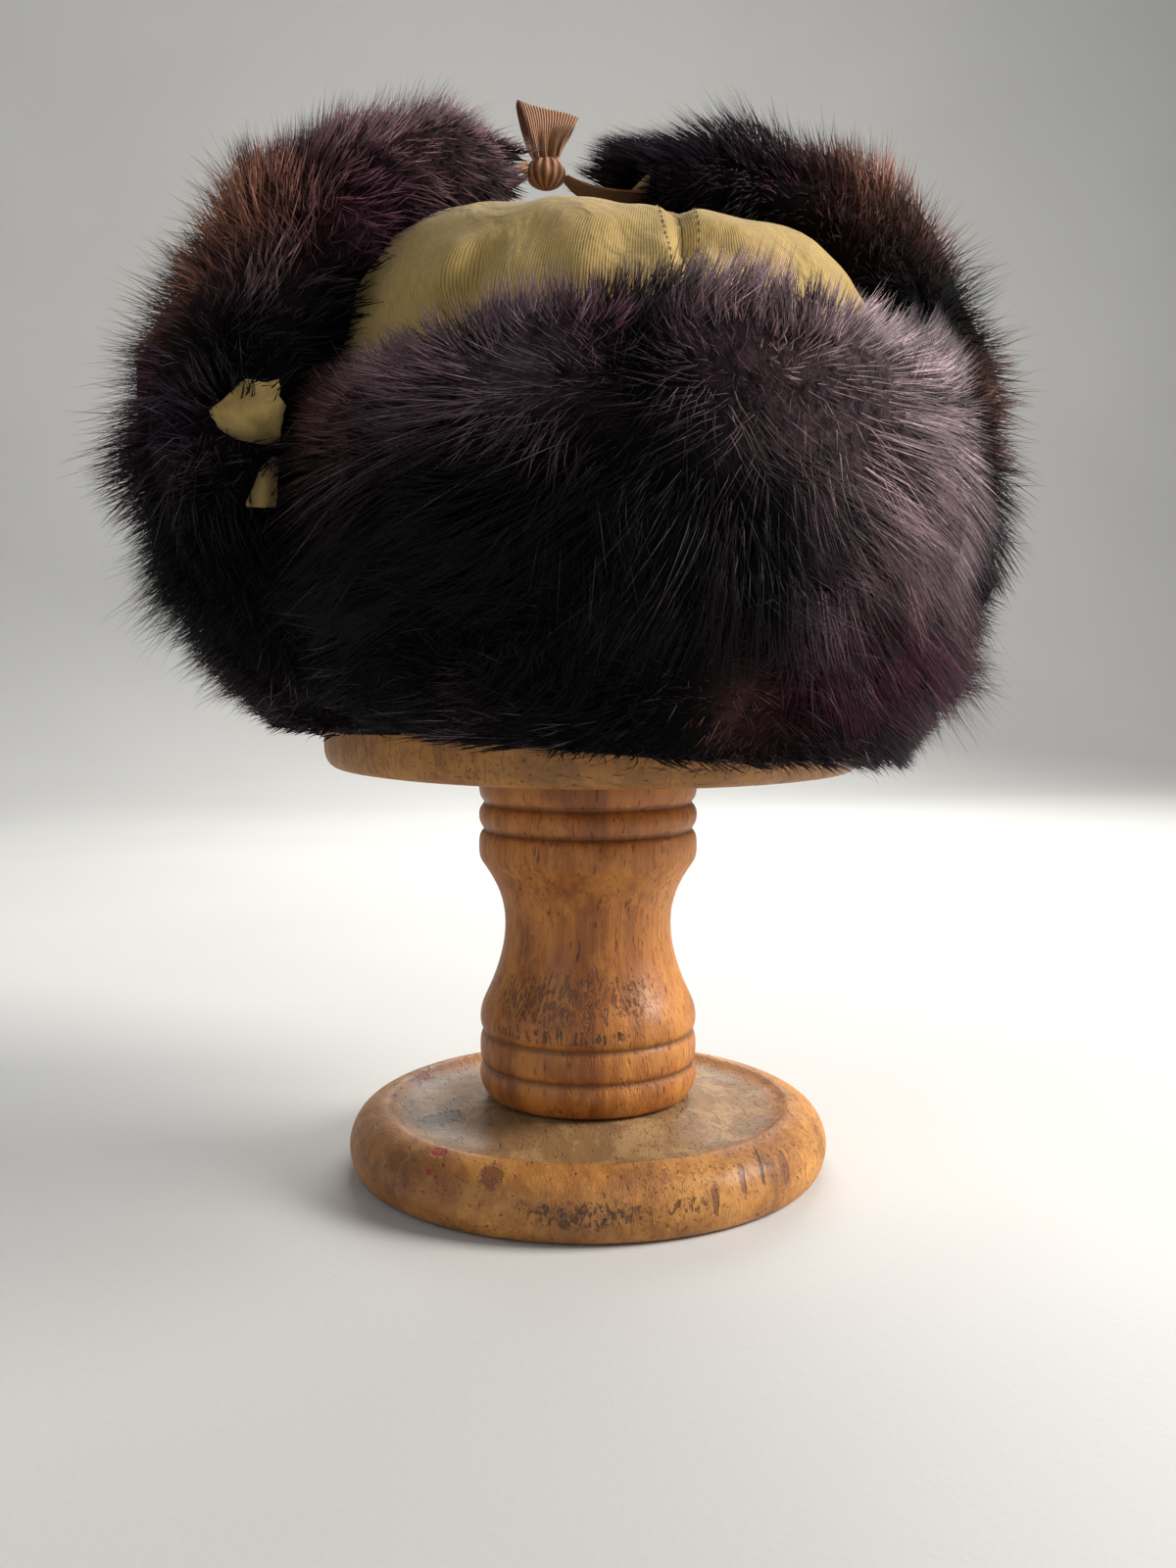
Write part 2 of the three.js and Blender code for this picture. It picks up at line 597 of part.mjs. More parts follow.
// Each flap with its share of the hat in degrees from the front, its grid, its locks and its coat's edge.
// Fan and tuck turn the locks near the side edges outward and inward, overhang and crest take the coat past
// the facing's sides and upper edge.
const FLAPS = [
  {
    name: 'front_flap',
    surface: bandFlapSurface(FRONT_FLAP),
    rows: FRONT_FLAP.rows,
    share: [-56.4, 56.4],
    grid: { columns: 12, rows: 4 },
    locks: { columns: 8, rows: 4, fan: 8, tuck: 0.3, seed: 1 },
    edge: { overhang: 0.04, crest: 0.1, depth: 0.2 },
  },
  {
    name: 'ear_flap_right',
    surface: earFlapSurface(EAR_FLAP_RIGHT),
    rows: EAR_FLAP_RIGHT.rows,
    share: [56.7, 135.8],
    grid: { columns: 8, rows: 9 },
    locks: { columns: 4, rows: 7, fan: 10, tuck: 1, seed: 400 },
    edge: { overhang: 0.16, crest: 0, depth: 0.3 },
  },
  {
    name: 'neck_flap',
    surface: bandFlapSurface(NECK_FLAP),
    rows: NECK_FLAP.rows,
    share: [136.2, 223.8],
    grid: { columns: 10, rows: 4 },
    locks: { columns: 6, rows: 3, fan: 6, tuck: 0.3, seed: 800 },
    edge: { overhang: 0.03, crest: 0.06, depth: 0.2 },
  },
  {
    name: 'ear_flap_left',
    surface: earFlapSurface(EAR_FLAP_LEFT),
    rows: EAR_FLAP_LEFT.rows,
    share: [224.2, 303.3],
    grid: { columns: 8, rows: 9 },
    locks: { columns: 4, rows: 7, fan: 13, tuck: 1.7, seed: 1300 },
    edge: { overhang: 0.2, crest: 0, depth: 0.35 },
  },
];
for (const flap of FLAPS) {
  addPiece(flaps, `${flap.name}_cloth`, flapFacing(flap), khaki);
  const coat = furCoat(flap).intersect(wedge(...flap.share));
  addPiece(flaps, `${flap.name}_fur`, geometryOf(mainBody(coat)), fur);
}

const knot = new THREE.SphereGeometry(1, 10, 8).scale(KNOT.halfWidth, KNOT.halfDepth, KNOT.halfHeight);
addPiece(bow, 'bow_knot', weld(knot.translate(KNOT.x, KNOT.y, KNOT.z)), grosgrain);
for (const { name, places, steps } of RIBBONS) {
  addPiece(bow, name, ribbon(places, steps), grosgrain);
}

const ushanka = new THREE.Group();
ushanka.add(stand, crown, flaps, bow);

export default ushanka;
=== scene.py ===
# %% [markdown]
# # A fur ushanka on a turned hat stand
# The hat's flaps are turned up and tied over its khaki crown with a grosgrain ribbon. It sits on an oval block
# with a turned stem and foot. The imported CAD model is the frame: every piece below is made round it, in
# metres, in the same place.

import json
import math

import bmesh
import bpy
import numpy as np
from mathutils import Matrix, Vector, kdtree
from mathutils.bvhtree import BVHTree

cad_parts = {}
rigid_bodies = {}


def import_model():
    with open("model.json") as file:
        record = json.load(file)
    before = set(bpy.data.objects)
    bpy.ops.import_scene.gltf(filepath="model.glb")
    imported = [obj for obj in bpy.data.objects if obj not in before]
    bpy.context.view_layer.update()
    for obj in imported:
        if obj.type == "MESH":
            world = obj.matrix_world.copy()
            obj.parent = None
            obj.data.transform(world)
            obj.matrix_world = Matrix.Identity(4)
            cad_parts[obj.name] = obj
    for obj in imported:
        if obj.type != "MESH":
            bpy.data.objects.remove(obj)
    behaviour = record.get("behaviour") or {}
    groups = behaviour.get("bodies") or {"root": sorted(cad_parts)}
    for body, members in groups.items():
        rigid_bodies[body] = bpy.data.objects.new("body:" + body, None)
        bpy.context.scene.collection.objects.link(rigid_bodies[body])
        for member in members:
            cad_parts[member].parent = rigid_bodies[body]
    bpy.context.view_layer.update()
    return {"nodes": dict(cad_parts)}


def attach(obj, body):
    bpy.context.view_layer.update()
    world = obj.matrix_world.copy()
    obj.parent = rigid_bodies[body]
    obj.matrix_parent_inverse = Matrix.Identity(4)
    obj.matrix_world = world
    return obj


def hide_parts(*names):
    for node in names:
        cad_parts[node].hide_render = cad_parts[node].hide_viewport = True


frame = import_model()
MM = 0.001
print("CAD nodes:", len(frame["nodes"]))

# %% [markdown]
# ## Camera
# The view was found by fitting a pinhole camera to the block's edge, the foot and the stem. The lens follows
# from the focal length in pixels, because Blender's lens is in millimetres on a sensor 36 mm along the
# picture's long side. The camera stands to the left of the hat's front and looks down a little.

# %% Camera
FRAME_WIDTH = 1200
FRAME_HEIGHT = 1600
FOCAL_PIXELS = 1527.0
SENSOR_MM = 36.0
EYE_HEIGHT = 0.1626
EYE_DISTANCE = 0.4709
EYE_AZIMUTH = math.radians(14.0)
EYE_PITCH = math.radians(5.03)
NEAREST = 0.01

camera_data = bpy.data.cameras.new("camera")
camera_data.sensor_width = SENSOR_MM
camera_data.lens = FOCAL_PIXELS * SENSOR_MM / FRAME_HEIGHT
camera_data.clip_start = NEAREST
camera = bpy.data.objects.new("camera", camera_data)
bpy.context.scene.collection.objects.link(camera)
away = (-math.sin(EYE_AZIMUTH), -math.cos(EYE_AZIMUTH))
camera.location = (away[0] * EYE_DISTANCE, away[1] * EYE_DISTANCE, EYE_HEIGHT)
camera.rotation_euler = (math.pi / 2 - EYE_PITCH, 0.0, -EYE_AZIMUTH)
bpy.context.scene.camera = camera
print("lens:", round(camera_data.lens, 2), "mm")

# %% [markdown]
# A few details are placed by where the camera sees them. A ray from the camera through a picture point is
# followed to the surface that carries the detail, so the detail lies on it from every side.

# %% Rays through picture points
EYE = Vector(camera.location)
EYE_TURN = camera.rotation_euler.to_matrix()


def ray(across, down):
    """The direction in which the camera sees a point of the 1200 by 1600 picture."""
    seen = Vector((across - FRAME_WIDTH / 2, FRAME_HEIGHT / 2 - down, -FOCAL_PIXELS))
    return (EYE_TURN @ seen).normalized()


def spots_on(tree, places):
    """Where rays through the picture points meet a surface, in millimetres."""
    hits = [tree.ray_cast(EYE, ray(across, down))[0] for across, down in places]
    return np.array([tuple(hit) for hit in hits if hit is not None]) / MM


# %% [markdown]
# ## Light and floor
# Plain soft light: a large key light to the right and above, as the hat's lit side asks for, a weak fill on
# the left, and a low light behind that picks out the hair's ends. The floor is one pale sheet that bends up
# into a backdrop, so there is no hard horizon behind the fur.

# %% Lights
LIGHTS = [
    # name, place, size, watts, colour
    ("key", (1.2, -0.42, 0.9), 0.7, 33.0, (1.0, 0.965, 0.92)),
    ("fill", (-1.1, -0.7, 0.55), 0.9, 2.2, (0.93, 0.96, 1.0)),
    ("rim", (0.35, 0.95, 0.85), 0.8, 13.0, (1.0, 0.99, 0.97)),
]
AIM = Vector((0.0, 0.0, 0.19))
SKY = (0.86, 0.88, 0.9, 1.0)
SKY_STRENGTH = 0.28
for name, place, size, watts, colour in LIGHTS:
    light = bpy.data.lights.new(name, "AREA")
    light.size = size
    light.energy = watts
    light.color = colour
    lamp = bpy.data.objects.new(name, light)
    lamp.location = place
    lamp.rotation_euler = (AIM - Vector(place)).to_track_quat("-Z", "Y").to_euler()
    bpy.context.scene.collection.objects.link(lamp)

world = bpy.data.worlds.new("studio")
world.use_nodes = True
background = world.node_tree.nodes["Background"]
background.inputs["Color"].default_value = SKY
background.inputs["Strength"].default_value = SKY_STRENGTH
bpy.context.scene.world = world
bpy.context.scene.view_settings.view_transform = "Standard"
print("lights:", len(LIGHTS))

# %% [markdown]
# ## A short way to write materials
# A material is a net of nodes. Drawn by hand it takes hundreds of lines, so one class wraps a socket and lets
# plain Python sums stand for Math nodes, and one method makes any other node.

# %% Sockets as numbers


class Wire:
    """An output socket that can be added, multiplied and so on. Each sum adds a Math node."""

    def __init__(self, look, socket):
        self.look = look
        self.socket = socket

    def __add__(self, other):
        return self.look.math("ADD", self, other)

    def __radd__(self, other):
        return self.look.math("ADD", other, self)

    def __sub__(self, other):
        return self.look.math("SUBTRACT", self, other)

    def __rsub__(self, other):
        return self.look.math("SUBTRACT", other, self)

    def __mul__(self, other):
        return self.look.math("MULTIPLY", self, other)

    def __rmul__(self, other):
        return self.look.math("MULTIPLY", other, self)


# A spot's ragged rim: how often its noise repeats in a metre, and how far it reaches.
RAG_SCALE = 620.0
RAG_SIZE = 0.9


class Look:
    """A material. Constants go straight to the shader's sockets; what varies is joined with feed."""

    def __init__(self, name, **constants):
        self.material = bpy.data.materials.new(name)
        self.material.use_nodes = True
        self.tree = self.material.node_tree
        self.shader = self.tree.nodes["Principled BSDF"]
        for socket, value in constants.items():
            self.shader.inputs[socket.replace("_", " ")].default_value = value

    def node(self, kind, settings=None, inputs=None, output=0):
        """A node of a kind with its settings, then its inputs as values or wires."""
        node = self.tree.nodes.new(kind)
        for key, value in (settings or {}).items():
            if key == "stops":
                ramp = node.color_ramp.elements
                while len(ramp) < len(value):
                    ramp.new(1.0)
                for element, (place, colour) in zip(ramp, value):
                    element.position = place
                    element.color = (*colour, 1.0)
            else:
                setattr(node, key, value)
        for key, value in (inputs or {}).items():
            self.join(value, node.inputs[key])
        return Wire(self, node.outputs[output])

    def join(self, value, socket):
        """Gives a socket a value or a link."""
        if isinstance(value, Wire):
            self.tree.links.new(value.socket, socket)
        else:
            socket.default_value = value

    def feed(self, **wires):
        """Joins what varies over the surface to the shader."""
        for socket, wire in wires.items():
            self.join(wire, self.shader.inputs[socket.replace("_", " ")])

    def place(self, scale=(1.0, 1.0, 1.0), turn=(0.0, 0.0, 0.0)):
        """Coordinates on the piece, scaled and turned."""
        coordinates = self.node("ShaderNodeTexCoord", output="Object")
        return self.node("ShaderNodeMapping", {}, {"Vector": coordinates, "Scale": scale, "Rotation": turn})

    def noise(self, vector, scale, detail=3.0, roughness=0.5, distortion=0.0):
        inputs = {"Vector": vector, "Scale": scale, "Detail": detail}
        inputs.update({"Roughness": roughness, "Distortion": distortion})
        return self.node("ShaderNodeTexNoise", {}, inputs)

    def between(self, value, low, high, start=0.0, end=1.0):
        """A value's range from low to high, smoothly turned into start to end."""
        return self.node(
            "ShaderNodeMapRange",
            {"interpolation_type": "SMOOTHSTEP"},
            {"Value": value, "From Min": low, "From Max": high, "To Min": start, "To Max": end},
        )

    def ramp(self, value, *stops):
        return self.node("ShaderNodeValToRGB", {"stops": stops}, {"Fac": value})

    def mix(self, share, first, second, blend="MIX"):
        """Two colours mixed by a share."""
        settings = {"data_type": "RGBA", "blend_type": blend}
        inputs = {0: share, 6: self.colour(first), 7: self.colour(second)}
        return self.node("ShaderNodeMix", settings, inputs, output=2)

    def colour(self, value):
        """A colour as a socket takes it: three numbers get an alpha of 1."""
        return value if isinstance(value, Wire) else (*value, 1.0)

    def math(self, operation, *values):
        return self.node("ShaderNodeMath", {"operation": operation}, dict(enumerate(values)))

    def vector(self, operation, *values, output=0):
        inputs = dict(enumerate(values))
        return self.node("ShaderNodeVectorMath", {"operation": operation}, inputs, output)

    def axis(self, vector, number):
        """One number of a vector: 0 is X, 1 is Y and 2 is Z."""
        return self.node("ShaderNodeSeparateXYZ", {}, {0: vector}, number)

    def wave(self, value, repeats):
        """A sine wave from -1 to 1 that repeats so many times while the value goes from 0 to 1."""
        return self.math("SINE", value * (2 * math.pi * repeats))

    def spot(self, centre, reach):
        """1 at a place on the piece, falling to 0 at its reach along each axis, with a ragged rim."""
        away = self.vector("DIVIDE", self.vector("SUBTRACT", self.place(), centre), reach)
        far = self.vector("LENGTH", away, output=1)
        return self.between(far + self.noise(self.place(), RAG_SCALE) * RAG_SIZE, 1.05, 1.45, 1.0, 0.0)

    def line_at(self, height, reach):
        """1 at a height on the piece, falling to 0 at its reach above and below."""
        off = self.math("ABSOLUTE", self.axis(self.place(), 2) - height)
        return self.between(off, 0.0, reach, 1.0, 0.0)

    def bump(self, height, strength, distance, normal=None):
        inputs = {"Height": height, "Strength": strength, "Distance": distance}
        if normal is not None:
            inputs["Normal"] = normal
        return self.node("ShaderNodeBump", {}, inputs)


# %% [markdown]
# The floor starts as one edge in front. Extruding it back, round a quarter circle and up gives a sheet with
# no corner in it, as a photographer's paper roll has.

# %% Floor
FLOOR_WIDTH = 5.0
FLOOR_FRONT = -2.2
BACK_START = 1.1
BACK_RADIUS = 0.6
BACK_HEIGHT = 2.6
BEND_STEPS = 12

floor_look = Look("floor", Roughness=0.85)
cloudy = floor_look.noise(floor_look.place(), 2.5)
floor_look.feed(
    Base_Color=floor_look.ramp(cloudy, (0.35, (0.6, 0.6, 0.585)), (0.65, (0.64, 0.64, 0.625))),
    Normal=floor_look.bump(floor_look.noise(floor_look.place(), 420.0), 0.08, 0.001),
)

bm = bmesh.new()
front = [bm.verts.new((x, FLOOR_FRONT, 0.0)) for x in (-FLOOR_WIDTH / 2, FLOOR_WIDTH / 2)]
edge = bm.edges.new(front)


def draw_on(edges, move):
    """Extrudes edges and moves the new ones; returns them."""
    out = bmesh.ops.extrude_edge_only(bm, edges=edges)["geom"]
    bmesh.ops.translate(bm, verts=[g for g in out if isinstance(g, bmesh.types.BMVert)], vec=move)
    return [g for g in out if isinstance(g, bmesh.types.BMEdge) and all(v in out for v in g.verts)]


edges = draw_on([edge], (0.0, BACK_START - FLOOR_FRONT, 0.0))
for step in range(BEND_STEPS):
    angles = [math.pi / 2 * (step + k) / BEND_STEPS for k in (0, 1)]
    run = BACK_RADIUS * (math.sin(angles[1]) - math.sin(angles[0]))
    rise = BACK_RADIUS * (math.cos(angles[0]) - math.cos(angles[1]))
    edges = draw_on(edges, (0.0, run, rise))
draw_on(edges, (0.0, 0.0, BACK_HEIGHT))
floor_mesh = bpy.data.meshes.new("floor")
bm.to_mesh(floor_mesh)
bm.free()
floor_mesh.shade_smooth()
floor_mesh.materials.append(floor_look.material)
floor = bpy.data.objects.new("floor", floor_mesh)
bpy.context.scene.collection.objects.link(floor)
print("floor faces:", len(floor_mesh.polygons))

# %% [markdown]
# ## Handing a piece over
# Every piece ends the same way: it gets its material, it rides on the part's one body, and the CAD solids that
# it stands for are hidden.

# %% Finish a piece


def keep(bm, name, look, replaces=()):
    """Turns a bmesh in metres into a piece of the part."""
    mesh = bpy.data.meshes.new(name)
    bm.to_mesh(mesh)
    bm.free()
    mesh.shade_smooth()
    return keep_mesh(mesh, look, replaces)


def keep_mesh(mesh, look, replaces=()):
    """Turns a mesh in metres into a piece of the part."""
    mesh.materials.append(look.material)
    piece = bpy.data.objects.new(mesh.name, mesh)
    bpy.context.scene.collection.objects.link(piece)
    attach(piece, "root")
    if replaces:
        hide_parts(*replaces)
    print(mesh.name, "faces:", len(mesh.polygons))
    return piece


def modifier(piece, kind, **settings):
    """Adds a modifier, which stays live on the piece."""
    added = piece.modifiers.new(kind.lower(), kind)
    for key, value in settings.items():
        setattr(added, key, value)


# %% [markdown]
# ## Turned wood
# The foot and the stem came off a lathe, so their rings are exactly round and the grain runs along the stem.
# The varnish is amber and has worn at the rings, and the stem's grooves carry painted shade. Brown streaks,
# torn grain and small dents show that it has been used for years. A pattern stretched along the grain gives the
# streaks, and short dark dashes give the open pores.

# %% Varnished wood
GROOVE_REACH = 0.0017
PIT = (0.05, 0.018, 0.006)
BURN = (0.19, 0.065, 0.02)
DUST = (0.1, 0.078, 0.05)
RED = (0.36, 0.03, 0.015)
SCUFF = (0.62, 0.42, 0.24)
DISH_TONES = ((0.2, 0.13, 0.06), (0.33, 0.23, 0.115))
DISH_RIM = 0.004
# How often each pattern repeats in a metre.
GRAIN_SCALE = 60.0
FIBRE_SCALE = 420.0
PATCH_SCALE = 22.0
PORE_SCALE = 900.0
STAIN_SCALE = 38.0
SCUFF_SCALE = 210.0
TOOL_SCALE = 780.0
BLOTCH_SCALE = 75.0
TEAR_SCALE = 900.0
UPRIGHT = 2


def darker(colour, share):
    """A share of a colour."""
    return tuple(value * share for value in colour)


def along_grain(look, along, squeeze):
    """Places on the wood, squeezed along the grain, so that a pattern there becomes streaks."""
    scale = [1.0, 1.0, 1.0]
    scale[along] = squeeze
    return look.place(scale)


def wood(name, along, light, mid, dark, rough, coat, grooves=(), marks=(), torn=(), dish=0.0):
    """Wood with its grain along an axis: 0 is X, 2 is Z. The grooves are darkened with painted shade, and the
    dish is worn.
    """
    look = Look(name, Coat_Roughness=0.22, Coat_IOR=1.5)
    broad = look.noise(along_grain(look, along, 0.07), GRAIN_SCALE, 4.0, 0.55, 0.6)
    thin = look.noise(along_grain(look, along, 0.025), FIBRE_SCALE, 3.0, 0.6)
    patchy = look.noise(look.place(), PATCH_SCALE, 4.0, 0.6)
    tone = broad * 0.5 + thin * 0.26 + patchy * 0.24
    colour = look.ramp(tone, (0.36, dark), (0.5, mid), (0.64, light))
    pores = look.between(look.noise(along_grain(look, along, 0.16), PORE_SCALE, 1.0), 0.66, 0.74)
    cloudy = look.noise(look.place((1.0, 1.0, 0.45)), STAIN_SCALE, 5.0, 0.65, 0.8)
    colour = look.mix(look.between(cloudy, 0.57, 0.7) * 0.6, colour, darker(mid, 0.42))
    colour = look.mix(pores * 0.7, colour, darker(dark, 0.25))
    scratched = look.noise(look.place((0.5, 1.6, 1.0)), SCUFF_SCALE, 2.0, 0.7, 1.5)
    scuffs = look.between(scratched, 0.72, 0.77)
    colour = look.mix(scuffs * 0.35, colour, SCUFF)
    height = thin * 0.5 + patchy * 0.5 - pores * 1.4 - scuffs * 0.5
    tooled = look.noise(look.place((1.0, 1.0, 0.2)), TOOL_SCALE, 2.0, 0.7)
    chips = look.between(tooled, 0.55, 0.66) * look.between(patchy, 0.4, 0.56, 0.25, 1.0)
    colour = look.mix(chips * 0.4, colour, dark)
    height = height + tooled * 1.2 - chips * 1.4
    blotch = look.between(look.noise(look.place((1.0, 1.0, 0.6)), BLOTCH_SCALE, 4.0, 0.7), 0.48, 0.62)
    colour = look.mix(blotch * 0.45, colour, light)
    if dish:
        from_axis = look.vector("LENGTH", look.place((1.0, 1.0, 0.0)), output=1)
        worn = look.between(from_axis + patchy * DISH_RIM, dish, dish + DISH_RIM, 1.0, 0.0)
        colour = look.mix(worn * 0.7, colour, look.mix(blotch, *DISH_TONES))
    tear_scale = (0.8, 1.0, 0.2 if along == UPRIGHT else 0.5)
    for centre, reach, stain in torn:
        shreds = look.noise(look.place(tear_scale, (0.0, 0.12, 0.0)), TEAR_SCALE, 3.0, 0.7)
        mark = look.spot(centre, reach) * look.between(shreds, 0.5, 0.58)
        colour = look.mix(mark * 0.8, colour, stain)
        height = height - mark * 3.0
    # Painted shade: each groove's height is darkened, where shade falls in the groove.
    for groove in grooves:
        dirt_and_shade = look.line_at(groove * MM, GROOVE_REACH)
        colour = look.mix(dirt_and_shade * 0.75, colour, darker(dark, 0.5))
    for centre, reach, stain in marks:
        mark = look.spot(centre, reach)
        colour = look.mix(mark * 0.9, colour, stain)
        height = height - mark * 1.6
    look.feed(
        Base_Color=colour,
        Roughness=look.between(patchy, 0.3, 0.7, rough - 0.08, rough + 0.14),
        Coat_Weight=look.between(patchy, 0.35, 0.7, coat, coat * 0.35),
        Normal=look.bump(height, 0.7, 0.0004),
    )
    return look


# %% [markdown]
# The profile of each turned piece is a few points from the axis to its rim. A full spin makes the solid, and
# the poles on the axis are merged. Subdivision rounds the rings as the gouge did.

# %% Spin a profile
SPIN_STEPS = 64
SEAM = 1e-6
POLE = 1e-5


def turned(profile, steps=SPIN_STEPS):
    """A closed solid of revolution from (radius, height) in millimetres."""
    bm = bmesh.new()
    verts = [bm.verts.new((radius * MM, 0.0, height * MM)) for radius, height in profile]
    edges = [bm.edges.new(pair) for pair in zip(verts, verts[1:])]
    turn = {"cent": (0, 0, 0), "axis": (0, 0, 1), "angle": 2 * math.pi}
    bmesh.ops.spin(bm, geom=verts + edges, **turn, steps=steps, use_merge=True)
    bmesh.ops.remove_doubles(bm, verts=bm.verts, dist=SEAM)
    bmesh.ops.recalc_face_normals(bm, faces=bm.faces)
    return bm


def marks_on(bm, marks):
    """Finds the marks' places on a piece; their picture points and reaches become metres."""
    tree = BVHTree.FromBMesh(bm)
    found = []
    for place, reach, stain in marks:
        for spot in spots_on(tree, [place]):
            found.append((tuple(spot * MM), tuple(size * MM for size in reach), stain))
    return found


# %% [markdown]
# The foot is a shallow dish with a thick rounded rim. Its wood is worn pale and dusty inside the rim, and it
# has old red paint spots, scorched spots and torn grain along the front, each at its own picture point.

# %% Foot
FOOT_GRAIN_ALONG = 1
DISH_RADIUS = 0.0595
BASE_PROFILE = [
    (0, 0), (60, 0), (71, 0), (73.4, 0.7), (74.8, 2.6), (76, 6.7), (76, 9.5), (75.2, 12.8), (73.4, 16),
    (70.8, 18.4), (67.5, 19.9), (64.6, 20.5), (63.4, 20.2), (61.5, 18.6), (56, 16.6), (47, 17.2), (39, 19.6),
    (35, 21.3), (33, 21.8), (14, 21.8), (12.3, 21.4), (12.3, 10.2), (11.5, 9.7), (0, 9.7),
]  # fmt: skip
BASE_MARKS = [
    # picture point, reach along x, y and z in mm, stain
    ((776, 1188), (0.7, 6, 8), PIT), ((432, 1098), (3, 4, 2.4), RED), ((447, 1176), (3.4, 3, 1.3), RED),
    ((437, 1195), (1.2, 1.6, 0.9), RED), ((500, 1200), (4, 5, 5), BURN), ((453, 1142), (9, 7, 3), DUST),
    ((730, 1225), (1.5, 5, 6), BURN), ((800, 1190), (2, 5, 8), BURN), ((757, 1200), (1.3, 5, 8), BURN),
]  # fmt: skip
BASE_TORN = [((590, 1242), (24, 9, 4.2), PIT), ((700, 1232), (8, 6, 2.6), PIT)]
bm = turned(BASE_PROFILE)
BASE_TONES = ((0.58, 0.27, 0.06), (0.38, 0.15, 0.03), (0.2, 0.07, 0.016))
base_wear = {"marks": marks_on(bm, BASE_MARKS), "torn": marks_on(bm, BASE_TORN), "dish": DISH_RADIUS}
base_wood = wood("base_wood", FOOT_GRAIN_ALONG, *BASE_TONES, 0.6, 0.14, **base_wear)
foot = keep(bm, "foot", base_wood, ["stand_base"])
modifier(foot, "SUBSURF", levels=1, render_levels=1)

# %% [markdown]
# The stem is one turned post: three bands stand below its waist and four above it, with painted shade in the
# grooves between them. Each groove is a dip in the profile, because a groove that is only drawn would not catch
# light.

# %% Stem
STEM_PROFILE = [
    (0, 10), (11, 10), (12, 10.6), (12, 21.2), (12.6, 22), (30.4, 22), (31.6, 22.4), (33.6, 25), (34.6, 28),
    (34.6, 30.6), (34, 32.6), (33.5, 33.4), (34.1, 34.2), (34.4, 35.6), (34.5, 38.5), (34.3, 41.4),
    (33.6, 42.9), (33.2, 43.4), (33.8, 44.2), (34.4, 46), (34.4, 48.6), (33.8, 51.6), (32.2, 55),
    (30.3, 59), (28.4, 64.4), (27, 69.6), (26.3, 75), (26.3, 80), (27.1, 85), (29, 90), (31.4, 94.2),
    (33.1, 96.6), (34.2, 98.2), (34.5, 100.4), (34.5, 104), (34.1, 106), (33.1, 107.1), (32.8, 107.5),
    (33.2, 108), (34.3, 109.8), (34.5, 112), (34.2, 114), (33.1, 115.3), (32.6, 115.9), (33.2, 116.6),
    (34.2, 118), (34.5, 121), (34.4, 125), (34, 127), (33, 127.2), (13, 127.2), (12, 127.6), (12, 138.4),
    (11.2, 139.2), (0, 139.2),
]  # fmt: skip
STEM_GROOVES = [22, 33.4, 43.4, 107.5, 115.9]
STEM_TORN = [((575, 1022), (30, 30, 9), (0.15, 0.045, 0.011)), ((570, 1060), (30, 30, 2.4), PIT)]
bm = turned(STEM_PROFILE)
STEM_TONES = ((0.62, 0.255, 0.045), (0.42, 0.14, 0.02), (0.21, 0.058, 0.01))
stem_wood = wood("stem_wood", UPRIGHT, *STEM_TONES, 0.55, 0.18, STEM_GROOVES, torn=marks_on(bm, STEM_TORN))
stem = keep(bm, "stem", stem_wood, ["stand_stem"])
modifier(stem, "SUBSURF", levels=1, render_levels=1)

# %% [markdown]
# The hat block is oval, so a round spin is made first and then narrowed. Its wood is paler and duller than
# the stem's, because the hat rubs on it.

# %% Hat block
BLOCK_HALF_LENGTH = 99
BLOCK_HALF_WIDTH = 82
BLOCK_PROFILE = [
    (0, 139.8), (12.3, 139.8), (12.3, 128.2), (13, 127.5), (93.4, 127.5), (96, 128), (98, 129.6), (99, 132.4),
    (99, 140), (99, 160), (99, 176), (98.3, 183), (96.5, 190), (93.6, 195.6), (89, 201), (82, 205.4),
    (71, 209), (40, 211.6), (0, 212),
]  # fmt: skip
BLOCK_TONES = ((0.52, 0.235, 0.05), (0.36, 0.15, 0.028), (0.18, 0.07, 0.014))
block_wood = wood("block_wood", 0, *BLOCK_TONES, 0.5, 0.12)
bm = turned(BLOCK_PROFILE, 96)
bmesh.ops.scale(bm, vec=(BLOCK_HALF_WIDTH / BLOCK_HALF_LENGTH, 1, 1), verts=bm.verts)
bmesh.ops.recalc_face_normals(bm, faces=bm.faces)
block = keep(bm, "block", block_wood, ["hat_block"])
modifier(block, "SUBSURF", levels=1, render_levels=1)

# %% [markdown]
# ## Tables of rows
# The hat's soft surfaces are described by a few rows of numbers from bottom to top, the same ones as in the
# CAD source. A Catmull-Rom blend gives a smooth value at any place between the rows. Each surface is then
# a function of two places, across and along, and a grid laid on it becomes the piece.

# %% Read the tables


def lerp(start, end, share):
    """A straight blend from start to end."""
    return start + (end - start) * share


def blend_rows(rows, low, share):
    """A Catmull-Rom blend of the rows round a place, column by column."""
    before, start, end, after = (rows[np.clip(low + k, 0, len(rows) - 1)] for k in (-1, 0, 1, 2))
    t = share[..., None]
    third = 3 * (start - end) + after - before
    second = 2 * before - 5 * start + 4 * end - after
    return start + 0.5 * t * (end - before + t * (second + t * third))


def read_rows(rows, place):
    """The rows at a share of their whole length."""
    at = np.clip(place, 0, 1) * (len(rows) - 1)
    low = np.minimum(at.astype(int), len(rows) - 2)
    return np.moveaxis(blend_rows(rows, low, at - low), -1, 0)


def read_rows_by_first(rows, value):
    """The rows at a value of their first column."""
    keys = rows[:, 0]
    low = np.clip(np.searchsorted(keys, value) - 1, 0, len(rows) - 2)
    share = np.clip((value - keys[low]) / (keys[low + 1] - keys[low]), 0, 1)
    return np.moveaxis(blend_rows(rows, low, share), -1, 0)


